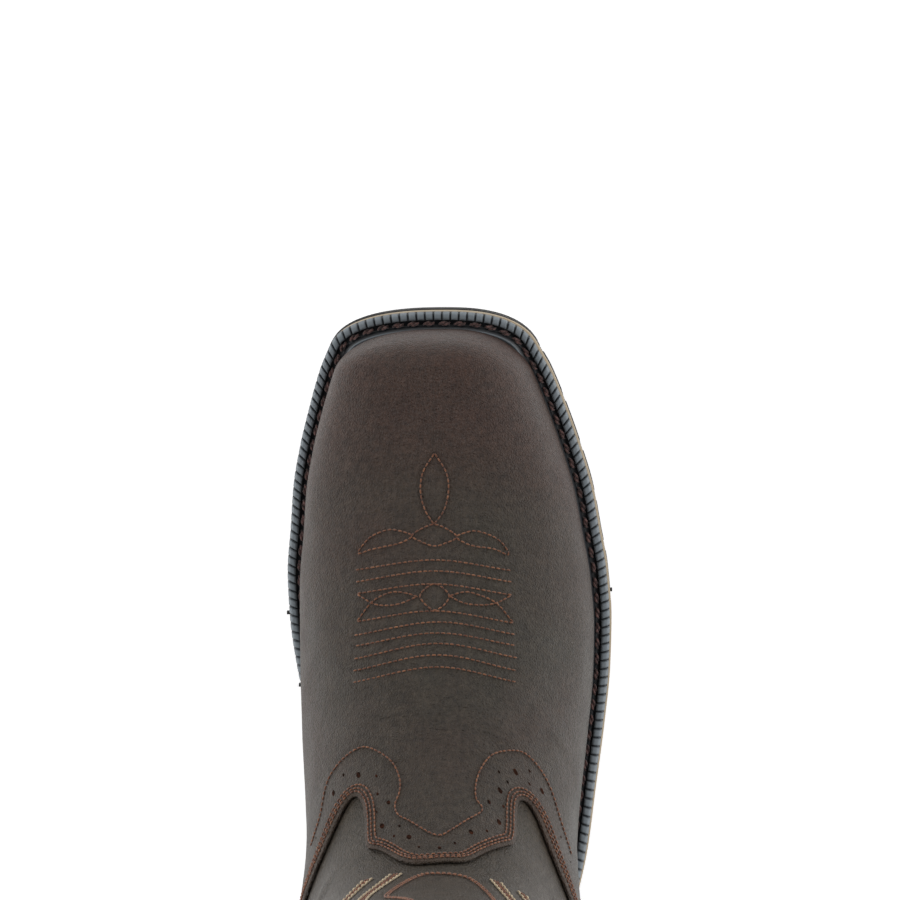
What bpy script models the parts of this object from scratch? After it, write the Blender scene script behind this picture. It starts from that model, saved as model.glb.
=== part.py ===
"""Western work boot for the right foot, with a square toe and a welted lug sole.

Boot coordinates: f runs forward from the back of the sole, l runs to the wearer's right
(the outer side of this foot) and z runs up from the floor, all in metres.
"""

import math

import bmesh
import bpy
import numpy as np

# Driving dimensions
SOLE_LENGTH = 0.312
BALL_WIDTH = 0.118
BOOT_HEIGHT = 0.326
HEEL_HEIGHT = 0.0345
HEEL_LENGTH = 0.086
TOE_SPRING = 0.0125
INSTEP_HEIGHT = 0.118
COLLAR_WIDTH = 0.122
COLLAR_DEPTH = 0.140
COLLAR_DIP = 0.030

# Thicknesses and clearances
OUTSOLE_THICKNESS = 0.0085
LUG_DEPTH = 0.0042
MIDSOLE_THICKNESS = 0.0040
WELT_THICKNESS = 0.0032
INSOLE_THICKNESS = 0.0050
LEATHER_WALL = 0.0022
OVERLAY_THICKNESS = 0.0016
STRAP_THICKNESS = 0.0022
SEAT_GAP = 0.0003
INSOLE_CLEARANCE = 0.0012
OVERLAY_GAP = 0.0004

# Sole edge
WELT_SHOW_TOE = 0.0070
WELT_SHOW_WAIST = 0.0058
TOE_CORNER = 0.0153
TOE_SQUARENESS = 2.5
HEEL_ROUND = 0.0400
HEEL_SQUARENESS = 2.1
RIB_BAND = 0.0032
RIB_RISE = 0.0009
GROOVE_WIDTH = 0.0021
GROOVE_DEPTH = 0.0008
WELT_HIDDEN = 0.0046
MIDSOLE_INSET = 0.0004
WELT_BEVEL = 0.0004
SOLE_STEP = 0.0008
NUB_REACH = 0.0012
NUB_WIDTH = 0.0050
NUB_LIFT = 0.0015
NUB_DROP = 0.0004
NUB_ROOT = 0.0040

# Tread
GROOVE_PITCH = 0.0185
GROOVE_GAP = 0.0042
GROOVE_REACH = 0.0300
FIRST_GROOVE = SOLE_LENGTH * 0.5385
TREAD_END = 0.0120
CUT_MARGIN = 0.0060
HEEL_TAPER = 0.0030
HEEL_CHAMFER_SHARE = 0.08
HEEL_GROOVES = (0.30, 0.52, 0.74)
HEEL_GROOVE_REACH = 0.0216
HEEL_MIDDLE = 0.6

# Upper
TOE_BULGE = 0.0006
HEEL_BULGE = 0.0030
BLEND_RADIUS = 0.0240
PIVOT_FORWARD = SOLE_LENGTH * 0.7692
PIVOT_HEIGHT = BOOT_HEIGHT * 0.7515
TOE_FAN_START = SOLE_LENGTH * 0.9167
RAY_REACH = SOLE_LENGTH * 0.85
RAY_START = 0.0040

# Trim
STRAP_WIDTH = 0.0280
STRAP_DROP = 0.0480
STRAP_LOOP = 0.0200
LOOP_RADIUS = 0.0075
SEAM_WIDTH = 0.0120
SEAM_LINE = 0.324
SEAM_ALONG = 0.215
SEAM_FOOT = 0.352
SEAM_TOP_GAP = 0.0030
BINDING_SHARE = 0.10

# Axes (f, l, z) of the outlines that cut the overlays: square to the instep's slope, and from the side
INSTEP_AXES = ((0.0, 1.0, 0.0), (math.sqrt(0.5), 0.0, -math.sqrt(0.5)), (math.sqrt(0.5), 0.0, math.sqrt(0.5)))
SIDE_AXES = ((1.0, 0.0, 0.0), (0.0, 0.0, 1.0), (0.0, 1.0, 0.0))

TREAD_BLACK = (0.018, 0.017, 0.016)
UPPER_BROWN = (0.075, 0.050, 0.038)
VAMP_BROWN = (0.085, 0.055, 0.040)
STRAP_BROWN = (0.060, 0.040, 0.030)


def table(names, *rows):
    """Named columns from a row for each station."""
    return {name: np.array(column) for name, column in zip(names.split(), zip(*rows))}


# Half widths are shares of BALL_WIDTH, along is a share of SOLE_LENGTH.
OUTLINE = table(
    "along lateral medial",
    (0.00, 0.330, 0.318),
    (0.13, 0.345, 0.335),
    (0.22, 0.358, 0.332),
    (0.30, 0.397, 0.330),
    (0.37, 0.438, 0.345),
    (0.44, 0.463, 0.378),
    (0.51, 0.488, 0.425),
    (0.58, 0.506, 0.470),
    (0.63, 0.509, 0.489),
    (0.69, 0.498, 0.497),
    (0.74, 0.475, 0.487),
    (0.79, 0.450, 0.478),
    (0.84, 0.410, 0.455),
    (0.88, 0.373, 0.429),
    (0.93, 0.321, 0.391),
    (0.96, 0.280, 0.360),
    (1.00, 0.250, 0.336),
)

# Underside of the outsole: rise is a share of HEEL_HEIGHT behind the ball and of TOE_SPRING ahead of it.
TREAD_LINE = table(
    "along heel_share toe_share",
    (0.00, 1.00, 0.00),
    (0.14, 0.96, 0.00),
    (0.27, 0.84, 0.00),
    (0.36, 0.62, 0.00),
    (0.45, 0.33, 0.00),
    (0.53, 0.11, 0.00),
    (0.60, 0.00, 0.00),
    (0.80, 0.00, 0.00),
    (0.86, 0.00, 0.10),
    (0.93, 0.00, 0.42),
    (1.00, 0.00, 1.00),
)

# Foot of the upper: rise is the height over the feather line as a share of INSTEP_HEIGHT,
# bulges are shares of BALL_WIDTH, arch and dome are the exponents of the section's shape.
FOOT = table(
    "along rise bulge_lateral bulge_medial ridge arch dome",
    (0.00, 0.560, 0.012, 0.012, 0.000, 2.6, 3.0),
    (0.12, 0.600, 0.030, 0.034, 0.000, 2.6, 2.8),
    (0.25, 0.690, 0.046, 0.080, -0.004, 2.5, 2.4),
    (0.36, 0.790, 0.036, 0.118, -0.012, 2.3, 2.1),
    (0.43, 0.900, 0.026, 0.115, -0.018, 2.2, 1.9),
    (0.50, 0.830, 0.022, 0.088, -0.024, 2.2, 1.9),
    (0.56, 0.730, 0.022, 0.056, -0.028, 2.2, 1.9),
    (0.63, 0.620, 0.022, 0.026, -0.030, 2.3, 2.0),
    (0.71, 0.515, 0.018, 0.014, -0.030, 2.4, 2.2),
    (0.79, 0.435, 0.012, 0.010, -0.030, 2.6, 2.5),
    (0.87, 0.375, 0.008, 0.008, -0.030, 2.8, 2.8),
    (0.94, 0.330, 0.004, 0.004, -0.030, 3.0, 3.0),
    (1.00, 0.295, 0.004, 0.004, -0.030, 3.0, 3.0),
)

# Shaft sections: up is a share of BOOT_HEIGHT, width of COLLAR_WIDTH, front and back of COLLAR_DEPTH.
SHAFT = table(
    "up width front back",
    (0.20, 0.72, 0.930, 0.120),
    (0.30, 0.80, 0.985, 0.085),
    (0.38, 0.82, 0.985, 0.065),
    (0.46, 0.85, 0.965, 0.050),
    (0.56, 0.88, 0.955, 0.030),
    (0.70, 0.93, 0.975, 0.015),
    (0.85, 0.98, 1.000, 0.008),
    (1.10, 1.00, 1.010, 0.006),
)
SHAFT_SQUARENESS = 2.25
SHAFT_FLOOR = 0.27
SHAFT_SINK = 0.10

# Top edge of the vamp, seen square to the slope of the instep, from its middle outward: across is a
# share of BALL_WIDTH, ahead a share of SOLE_LENGTH. It has a tongue point, a notch and a lobe.
VAMP_EDGE = table(
    "across ahead",
    (0.000, -0.048),
    (0.060, -0.050),
    (0.115, -0.040),
    (0.150, -0.026),
    (0.190, -0.010),
    (0.225, 0.004),
    (0.232, 0.068),
    (0.250, 0.080),
    (0.280, 0.082),
    (0.305, 0.070),
    (0.340, 0.050),
    (0.370, 0.034),
    (0.400, 0.018),
    (0.600, 0.000),
)
VAMP_MIDDLE = 0.008

# Top edge of the heel counter from the side: along is a share of SOLE_LENGTH, up of BOOT_HEIGHT.
COUNTER_EDGE = table(
    "along up",
    (0.324, 0.290),
    (0.290, 0.322),
    (0.240, 0.338),
    (0.180, 0.335),
    (0.110, 0.340),
    (0.050, 0.365),
    (-0.020, 0.378),
)

SECTION_SAMPLES = 29
SHELL_FOOT_ROWS = 24
SHELL_ANKLE_ROWS = 6
SHELL_SHAFT_ROWS = 3
SOLE_SAMPLES = 72
INSOLE_SAMPLES = 48
HEEL_SAMPLES = 40


def read(source, column, at):
    """Smooth curve through one column of a table, without overshoot."""
    keys = source[next(iter(source))]
    values = source[column]
    at = np.clip(at, keys[0], keys[-1])
    steps = np.diff(keys)
    slopes = np.diff(values) / steps
    inner = np.where(
        slopes[1:] * slopes[:-1] > 0,
        2 * slopes[1:] * slopes[:-1] / np.where(slopes[1:] + slopes[:-1] == 0, 1, slopes[1:] + slopes[:-1]),
        0.0,
    )
    tangents = np.concatenate([slopes[:1], inner, slopes[-1:]])
    i = np.clip(np.searchsorted(keys, at, side="right") - 1, 0, len(steps) - 1)
    t = (at - keys[i]) / steps[i]
    return (
        values[i] * (1 + 2 * t) * (1 - t) ** 2
        + values[i + 1] * t * t * (3 - 2 * t)
        + steps[i] * tangents[i] * t * (1 - t) ** 2
        - steps[i] * tangents[i + 1] * t * t * (1 - t)
    )


def tread_height(f):
    """Underside of the outsole over the floor, without the heel block."""
    along = f / SOLE_LENGTH
    heel = HEEL_HEIGHT * read(TREAD_LINE, "heel_share", along)
    return heel + TOE_SPRING * read(TREAD_LINE, "toe_share", along)


def midsole_floor(f):
    return tread_height(f) + OUTSOLE_THICKNESS + SEAT_GAP


def welt_floor(f):
    return midsole_floor(f) + MIDSOLE_THICKNESS + SEAT_GAP


def feather_height(f):
    """Top of the welt, where the upper's lower edge sits."""
    return welt_floor(f) + WELT_THICKNESS + SEAT_GAP


def side_width(f, side):
    """Half width of the sole before its ends are rounded, side +1 outer and -1 inner."""
    along = f / SOLE_LENGTH
    outer = read(OUTLINE, "lateral", along)
    inner = read(OUTLINE, "medial", along)
    return BALL_WIDTH * np.where(side > 0, outer, inner)


def end_terms(f, toe_tip, heel_tip):
    toe = np.clip((f - toe_tip + TOE_CORNER) / TOE_CORNER, 0, None) ** TOE_SQUARENESS
    heel = np.clip((heel_tip + HEEL_ROUND - f) / HEEL_ROUND, 0, None) ** HEEL_SQUARENESS
    return toe, heel


def squareness(f):
    return np.where(f > SOLE_LENGTH / 2, TOE_SQUARENESS, HEEL_SQUARENESS)


def welt_show(f):
    """How far the feather line stands in from the sole's outline."""
    share = np.clip((f / SOLE_LENGTH - 0.35) / 0.35, 0, 1)
    return WELT_SHOW_WAIST + (WELT_SHOW_TOE - WELT_SHOW_WAIST) * share


def outline_loop(inset, count):
    """Points (f, l) round the sole's outline, moved in along the normal by inset."""
    middle = SOLE_LENGTH / 2
    turn = np.linspace(0, 2 * math.pi, 4000, endpoint=False)
    f = middle - middle * np.cos(turn)
    side = np.where(turn < math.pi, 1, -1)
    toe, heel = end_terms(f, SOLE_LENGTH, 0.0)
    l = side * side_width(f, side) * np.clip(1 - toe - heel, 0, 1) ** (1 / squareness(f))
    tangent_f = np.roll(f, -1) - np.roll(f, 1)
    tangent_l = np.roll(l, -1) - np.roll(l, 1)
    size = np.hypot(tangent_f, tangent_l)
    depth = inset(f) if callable(inset) else inset
    f, l = f + depth * tangent_l / size, l - depth * tangent_f / size
    return even_points(f, l, count)


def even_points(f, l, count):
    """The same closed loop with count points at even spacing."""
    f = np.append(f, f[0])
    l = np.append(l, l[0])
    run = np.concatenate([[0], np.cumsum(np.hypot(np.diff(f), np.diff(l)))])
    at = np.linspace(0, run[-1], count, endpoint=False)
    return np.interp(at, run, f), np.interp(at, run, l)


def foot_field(f, l, z):
    """Below zero inside the foot of the upper."""
    along = f / SOLE_LENGTH
    rise = INSTEP_HEIGHT * read(FOOT, "rise", along)
    level = np.clip((z - feather_height(f)) / rise, 0, None)
    swell = 1 - np.clip(1 - level / 0.45, 0, 1) ** 2
    side = np.where(l > 0, 1, -1)
    outer_bulge = read(FOOT, "bulge_lateral", along)
    bulge = BALL_WIDTH * np.where(side > 0, outer_bulge, read(FOOT, "bulge_medial", along))
    show = welt_show(f)
    width = side_width(f, side) - show + bulge * swell
    ridge = BALL_WIDTH * read(FOOT, "ridge", along) * np.clip(level, 0, 1)
    toe, heel = end_terms(f, SOLE_LENGTH - show + TOE_BULGE * swell, show - HEEL_BULGE * swell)
    corner = squareness(f)
    planar = ((np.abs(l - ridge) / width) ** corner + toe + heel) ** (1 / corner)
    return planar ** read(FOOT, "arch", along) + level ** read(FOOT, "dome", along) - 1


def shaft_field(f, l, z):
    """Below zero inside the shaft, which closes below the ankle."""
    up = z / BOOT_HEIGHT
    front = COLLAR_DEPTH * read(SHAFT, "front", up)
    back = COLLAR_DEPTH * read(SHAFT, "back", up)
    half = COLLAR_WIDTH / 2 * read(SHAFT, "width", up)
    sink = np.clip((SHAFT_FLOOR - up) / SHAFT_SINK, 0, None)
    long = np.abs(f - (front + back) / 2) / ((front - back) / 2)
    wide = np.abs(l) / half
    return long**SHAFT_SQUARENESS + wide**SHAFT_SQUARENESS + sink**2 - 1


def slope(field, point, step=0.0002):
    """Gradient of a field by central differences."""
    parts = []
    for axis in range(3):
        ahead = [value + step * (axis == i) for i, value in enumerate(point)]
        behind = [value - step * (axis == i) for i, value in enumerate(point)]
        parts.append((field(*ahead) - field(*behind)) / (2 * step))
    return parts


def distance(field, point):
    """First-order distance to a field's surface."""
    size = np.sqrt(sum(part**2 for part in slope(field, point)))
    return field(*point) / np.maximum(size, 1.0)


def boot_field(f, l, z):
    """Distance to the outer leather surface, the foot and the shaft joined with a soft fillet."""
    foot = distance(foot_field, (f, l, z))
    shaft = distance(shaft_field, (f, l, z))
    mix = np.clip(0.5 + 0.5 * (foot - shaft) / BLEND_RADIUS, 0, 1)
    return foot * (1 - mix) + shaft * mix - BLEND_RADIUS * mix * (1 - mix)


def first_hit(origin, direction, steps=34):
    """Where rays from inside leave the leather surface, by bisection."""
    near = np.zeros(np.broadcast(origin[0], direction[0]).shape)
    far = near + RAY_REACH
    for _ in range(steps):
        middle = (near + far) / 2
        inside = boot_field(*[o + middle * d for o, d in zip(origin, direction)]) < 0
        near = np.where(inside, middle, near)
        far = np.where(inside, far, middle)
    return (near + far) / 2


def section_planes(reach):
    """Base point and lean of the section planes: reach 0 toe, 1 heel, 2 pivot height, 3 collar."""
    heel = welt_show(0.0)
    toe_share = np.clip(reach / 0.3, 0, 1)
    back_share = np.clip((reach - 0.3) / 0.7, 0, 1)
    toe_base = TOE_FAN_START + (PIVOT_FORWARD - TOE_FAN_START) * toe_share
    back_base = PIVOT_FORWARD + (heel - PIVOT_FORWARD) * np.sin(back_share * math.pi / 2)
    base = np.where(reach < 0.3, toe_base, back_base)
    climb = np.clip(reach - 1, 0, 1)
    height = feather_height(base) + (PIVOT_HEIGHT - feather_height(base)) * climb
    feather_slope = math.atan2(
        float(feather_height(SOLE_LENGTH - WELT_SHOW_TOE) - feather_height(TOE_FAN_START)),
        SOLE_LENGTH - WELT_SHOW_TOE - TOE_FAN_START,
    )
    toe_lean = (math.pi / 2 - feather_slope) * (1 - toe_share) ** 1.3
    back_lean = np.arctan2(PIVOT_FORWARD - base, np.maximum(PIVOT_HEIGHT - height, 0))
    return base, height, np.where(reach < 0.3, toe_lean, back_lean)


def section_rays(reach, around):
    """Origins and directions of the rays that find the surface, for arrays of the same shape."""
    base, height, lean = section_planes(reach)
    ahead = (np.sin(lean), np.zeros_like(lean), np.cos(lean))
    start = (base, np.zeros_like(base), height)
    inset = tuple(value + RAY_START * part for value, part in zip(start, ahead))
    length = first_hit(inset, ahead) + RAY_START
    share = np.interp(reach, [0.0, 0.3, 1.0, 1.4, 3.0], [0.0, 0.08, 0.45, 0.5, 0.5])
    lift = share * length
    origin = [value + lift * part for value, part in zip(start, ahead)]
    foot_end = reach < 1
    toe, heel = end_terms(base, SOLE_LENGTH - WELT_SHOW_TOE, welt_show(0.0))
    round_off = np.clip(1 - toe - heel, 0, 1) ** (1 / squareness(base))
    outer = (side_width(base, 1) - welt_show(base)) * round_off
    inner = (side_width(base, -1) - welt_show(base)) * round_off
    begin = np.where(foot_end, np.arctan2(outer, lift), 0.0)
    end = 2 * math.pi - np.where(foot_end, np.arctan2(inner, lift), 0.0)
    turn = begin + (end - begin) * around
    climb = np.clip(reach - 2, 0, 1)
    mid_share = (1 - np.cos(2 * turn)) / 2
    edge = BOOT_HEIGHT - COLLAR_DIP * (1 - mid_share)
    origin[2] = origin[2] + climb * (edge - PIVOT_HEIGHT)
    across = np.sin(turn)
    along = -np.cos(turn)
    return origin, (along * ahead[0], across, along * ahead[2])


def leather(reach, around, depth=0.0):
    """Points (f, l, z) of the outer leather surface, or depth below it."""
    reach, around = np.broadcast_arrays(np.asarray(reach, float), np.asarray(around, float))
    origin, direction = section_rays(reach, around)
    length = first_hit(origin, direction)
    point = [o + length * d for o, d in zip(origin, direction)]
    on_foot = reach <= 1
    edge = on_foot & ((around <= 0) | (around >= 1) | (reach <= 0))
    parts = slope(boot_field, point)
    size = np.sqrt(sum(part**2 for part in parts))
    normal = [part / size for part in parts]
    normal[2] = np.where(edge | (reach >= 3), 0.0, normal[2])
    flat = np.sqrt(sum(part**2 for part in normal))
    point = [value - depth * part / flat for value, part in zip(point, normal)]
    point[2] = np.where(on_foot, np.maximum(point[2], feather_height(point[0])), point[2])
    return np.stack(point, axis=-1)


def placed(points):
    """World coordinates of boot points: toe toward -Y, outer side toward -X."""
    points = np.asarray(points, float)
    return np.stack([-points[..., 1], SOLE_LENGTH / 2 - points[..., 0], points[..., 2]], axis=-1)


def material(name, colour, roughness):
    made = bpy.data.materials.new(name)
    made.use_nodes = True
    shader = made.node_tree.nodes["Principled BSDF"]
    shader.inputs["Base Color"].default_value = (*colour, 1.0)
    shader.inputs["Roughness"].default_value = roughness
    shader.inputs["Metallic"].default_value = 0.0
    return made


def add_object(name, points, faces, collection, colour, roughness):
    mesh = bpy.data.meshes.new(name)
    mesh.from_pydata(placed(points).reshape(-1, 3).tolist(), [], [list(map(int, face)) for face in faces])
    mesh.validate()
    made = bpy.data.objects.new(name, mesh)
    collection.objects.link(made)
    mesh.materials.append(material(name + "_material", colour, roughness))
    shape = bmesh.new()
    shape.from_mesh(mesh)
    bmesh.ops.remove_doubles(shape, verts=shape.verts, dist=1e-6)
    bmesh.ops.recalc_face_normals(shape, faces=shape.faces)
    shape.to_mesh(mesh)
    shape.free()
    mesh.shade_smooth()
    return made


def grid_faces(rows, columns, offset=0, close_rows=False, close_columns=False):
    """Triangles of a grid of rows by columns points, their diagonals mirrored about the middle column."""
    faces = []
    for r in range(rows if close_rows else rows - 1):
        for c in range(columns if close_columns else columns - 1):
            nr = (r + 1) % rows
            nc = (c + 1) % columns
            a, b = offset + r * columns + c, offset + r * columns + nc
            d, e = offset + nr * columns + c, offset + nr * columns + nc
            faces += [[a, b, e], [a, e, d]] if 2 * c < columns - 1 else [[a, b, d], [b, e, d]]
    return faces


def wall_between(outer, inner, closed_from=None):
    """Points and faces of the wall between two grids, whose side columns meet from one row on."""
    rows, columns = outer.shape[:2]
    count = rows * columns
    faces = grid_faces(rows, columns) + [face[::-1] for face in grid_faces(rows, columns, count)]
    side_rows = rows - 1 if closed_from is None else closed_from
    ends = ((0, c, 0, c + 1) for c in range(columns - 1))
    top = ((rows - 1, c, rows - 1, c + 1) for c in range(columns - 1))
    sides = ((r, c, r + 1, c) for r in range(side_rows) for c in (0, columns - 1))
    for r, c, nr, nc in (*ends, *top, *sides):
        a, b = r * columns + c, nr * columns + nc
        faces.append([a, b, count + b, count + a])
    return np.concatenate([outer.reshape(-1, 3), inner.reshape(-1, 3)]), faces


def stacked_rings(rings, close):
    """Points and faces of rings of equal count, joined in a closed band or capped at both ends."""
    rows, columns = len(rings), len(rings[0])
    faces = grid_faces(rows, columns, close_rows=close, close_columns=True)
    if not close:
        faces.append(list(range(columns))[::-1])
        faces.append([(rows - 1) * columns + c for c in range(columns)])
    return np.concatenate(rings), faces


def ring(inset, height, count=SOLE_SAMPLES):
    """Ring of points at an inset from the sole's outline and at a height that follows the sole."""
    f, l = outline_loop(inset, count)
    return np.stack([f, l, height(f)], axis=-1)


def across_faces(base, count, partner, flip):
    """Faces that fill a ring from side to side, each point i joined to the point partner - i."""
    faces = []
    for i in range(count // 2):
        corners = [base + i, base + i + 1, base + (partner - i - 1) % count, base + (partner - i) % count]
        corners = list(dict.fromkeys(corners))
        if len(corners) > 2:
            faces.append(corners[::-1] if flip else corners)
    return faces


def slab(name, layers, collection, colour, roughness, count=SOLE_SAMPLES):
    """Solid between rings (inset, height), its top and bottom filled across from side to side."""
    rings = [ring(inset, height, count) for inset, height in layers]
    faces = grid_faces(len(rings), count, close_columns=True)
    faces += across_faces(0, count, count, True)
    faces += across_faces((len(rings) - 1) * count, count, count, False)
    return add_object(name, np.concatenate(rings), faces, collection, colour, roughness)


def box_between(name, low, high, collection):
    """Box in boot coordinates, as a hidden cutter or a piece to be joined."""
    bpy.ops.mesh.primitive_cube_add(size=1)
    made = bpy.context.object
    made.name = name
    corners = placed(np.array([low, high]))
    made.location = corners.mean(axis=0)
    made.scale = np.abs(corners[1] - corners[0])
    for owner in list(made.users_collection):
        owner.objects.unlink(made)
    collection.objects.link(made)
    made.hide_render = True
    made.display_type = "WIRE"
    return made


def boolean(target, cutter, operation):
    modifier = target.modifiers.new(cutter.name, "BOOLEAN")
    modifier.operation = operation
    modifier.object = cutter
    modifier.solver = "EXACT"


def half_width_at(f, side):
    toe, heel = end_terms(f, SOLE_LENGTH, 0.0)
    ends = np.clip(1 - toe - heel, 0, 1) ** (1 / squareness(f))
    return float(side_width(f, side) * ends)


def lug_roof(f):
    """Roof of the grooves between the lugs."""
    return tread_height(f) + LUG_DEPTH


def cut_grooves(target, places, reach, roof, cutters):
    """Grooves across the tread from both sides, reach deep from the edge and up to a roof."""
    for number, f in enumerate(places):
        for side, label in ((1, "outer"), (-1, "inner")):
            edge = half_width_at(f, side)
            low = (f - GROOVE_GAP / 2, side * (edge + CUT_MARGIN), -CUT_MARGIN)
            high = (f + GROOVE_GAP / 2, side * (edge - reach), float(roof(f)))
            cutter = box_between(f"{target.name}_groove_{label}_{number}", low, high, cutters)
            boolean(target, cutter, "DIFFERENCE")


def build_outsole(collection, cutters):
    """Lug sole: a shell with a stepped side, side nubs and grooves between its main lugs."""
    layers = [
        (SOLE_STEP, tread_height),
        (0.0, lambda f: tread_height(f) + SOLE_STEP),
        (0.0, lug_roof),
        (SOLE_STEP, lambda f: lug_roof(f) + SOLE_STEP),
        (0.0, lambda f: tread_height(f) + OUTSOLE_THICKNESS),
    ]
    outsole = slab("outsole", layers, collection, TREAD_BLACK, 0.7)
    places = np.arange(FIRST_GROOVE, SOLE_LENGTH - TREAD_END, GROOVE_PITCH)
    cut_grooves(outsole, places, GROOVE_REACH, lug_roof, cutters)
    for number, f in enumerate(places[2:-1] - GROOVE_PITCH / 2):
        for side, label in ((1, "outer"), (-1, "inner")):
            edge = half_width_at(f, side)
            base = float(tread_height(f))
            low = (f - NUB_WIDTH / 2, side * (edge - NUB_ROOT), base + NUB_LIFT)
            high = (f + NUB_WIDTH / 2, side * (edge + NUB_REACH), base + LUG_DEPTH - NUB_DROP)
            nub = box_between(f"side_nub_{label}_{number}", low, high, cutters)
            boolean(outsole, nub, "UNION")
    return outsole


def heel_plan():
    """Points (f, l) of the heel block's outline, from one end of its breast round the back to the other."""
    f, l = outline_loop(MIDSOLE_INSET, 400)
    back = f < HEEL_LENGTH
    order = np.argsort(np.arctan2(l[back], HEEL_LENGTH - f[back]))
    f, l = f[back][order], l[back][order]
    run = np.concatenate([[0], np.cumsum(np.hypot(np.diff(f), np.diff(l)))])
    at = np.linspace(0, run[-1], HEEL_SAMPLES)
    return np.stack([np.interp(at, run, f), np.interp(at, run, l)], axis=-1)


def build_heel(collection, cutters):
    """Heel block with a small taper, a straight breast and grooves in its tread."""
    middle = np.array([HEEL_LENGTH * HEEL_MIDDLE, 0.0])
    away = heel_plan() - middle
    rings = []
    for share, chamfer in ((0.0, SOLE_STEP), (HEEL_CHAMFER_SHARE, 0.0), (1.0, 0.0)):
        taper = HEEL_TAPER * (1 - share) + chamfer
        plan = middle + away * (1 - taper / np.linalg.norm(away, axis=-1, keepdims=True))
        height = share * (tread_height(plan[:, 0]) - SEAT_GAP)
        rings.append(np.column_stack([plan, height]))
    points = np.concatenate(rings)
    faces = grid_faces(len(rings), HEEL_SAMPLES, close_columns=True)
    faces += across_faces(0, HEEL_SAMPLES, HEEL_SAMPLES - 1, True)
    faces += across_faces((len(rings) - 1) * HEEL_SAMPLES, HEEL_SAMPLES, HEEL_SAMPLES - 1, False)
    heel = add_object("heel", points, faces, collection, TREAD_BLACK, 0.7)
    places = HEEL_LENGTH * np.array(HEEL_GROOVES)
    cut_grooves(heel, places, HEEL_GROOVE_REACH, lambda f: LUG_DEPTH, cutters)
    return heel


def midsole_roof(f):
    return midsole_floor(f) + MIDSOLE_THICKNESS


def build_midsole(collection):
    layers = [(MIDSOLE_INSET, midsole_floor), (MIDSOLE_INSET, midsole_roof)]
    return slab("midsole", layers, collection, (0.42, 0.32, 0.20), 0.75)


def welt_inner_edge(f):
    return welt_show(f) + WELT_HIDDEN


def build_welt(collection):
    """Storm welt: a raised rib band at the rim, the stitched groove and a rising inner lip."""
    groove_end = RIB_BAND + GROOVE_WIDTH
    drops = [
        (0.0, WELT_THICKNESS),
        (0.0, RIB_RISE),
        (RIB_RISE, 0.0),
        (RIB_BAND, 0.0),
        (RIB_BAND + WELT_BEVEL, GROOVE_DEPTH),
        (groove_end - WELT_BEVEL, GROOVE_DEPTH),
        (groove_end, 0.0),
        (welt_inner_edge, 0.0),
        (welt_inner_edge, WELT_THICKNESS),
    ]
    roof = lambda f: welt_floor(f) + WELT_THICKNESS
    rings = [ring(inset, lambda f, drop=drop: roof(f) - drop) for inset, drop in drops]
    points, faces = stacked_rings(rings, close=True)
    return add_object("welt", points, faces, collection, (0.03, 0.033, 0.038), 0.55)


def build_insole(collection):
    inset = lambda f: welt_inner_edge(f) + INSOLE_CLEARANCE
    floor = lambda f: midsole_roof(f) + SEAT_GAP
    top = lambda f: floor(f) + INSOLE_THICKNESS
    layers = [(inset, floor), (inset, top)]
    return slab("insole", layers, collection, (0.30, 0.20, 0.12), 0.85, INSOLE_SAMPLES)


def shell_rows():
    """Places of the shell's rows and the row from which its sides meet at the back."""
    foot = np.linspace(0, 1, SHELL_FOOT_ROWS)
    ankle = np.linspace(1, 2, SHELL_ANKLE_ROWS + 1)[1:]
    shaft = np.linspace(2, 3 - BINDING_SHARE, SHELL_SHAFT_ROWS + 1)[1:]
    return np.concatenate([foot, ankle, shaft, [3.0]]), SHELL_FOOT_ROWS - 1


def shell_wall(outside, inside):
    """Points and faces of the closed wall between two depths under the outer leather surface."""
    rows, closing_row = shell_rows()
    reach, around = np.meshgrid(rows, np.linspace(0, 1, SECTION_SAMPLES), indexing="ij")
    return wall_between(leather(reach, around, outside), leather(reach, around, inside), closing_row)


def build_upper(collection):
    """One hollow leather shell, foot and shaft, open at the collar and underneath."""
    under = OVERLAY_THICKNESS + OVERLAY_GAP
    points, faces = shell_wall(under, under + LEATHER_WALL)
    return add_object("upper", points, faces, collection, UPPER_BROWN, 0.5)


def prism(name, outline, axes, low, high, cutters):
    """Hidden cutter: an outline in the plane of two axes, carried from low to high along the third."""
    first, second, third = (np.array(axis) for axis in axes)
    flat = np.array([a * first + b * second for a, b in outline])
    points, faces = stacked_rings([flat + low * third, flat + high * third], close=False)
    made = add_object(name, points, faces, cutters, UPPER_BROWN, 0.5)
    made.hide_render = True
    made.display_type = "WIRE"
    return made


def overlay(name, outlines, collection, cutters):
    """Leather piece over the shell: the wall over it, kept inside each outline (points, axes, low, high)."""
    points, faces = shell_wall(0.0, OVERLAY_THICKNESS)
    made = add_object(name, points, faces, collection, VAMP_BROWN, 0.5)
    for number, outline in enumerate(outlines):
        boolean(made, prism(f"{name}_outline_{number}", *outline, cutters), "INTERSECT")
    return made


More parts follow.
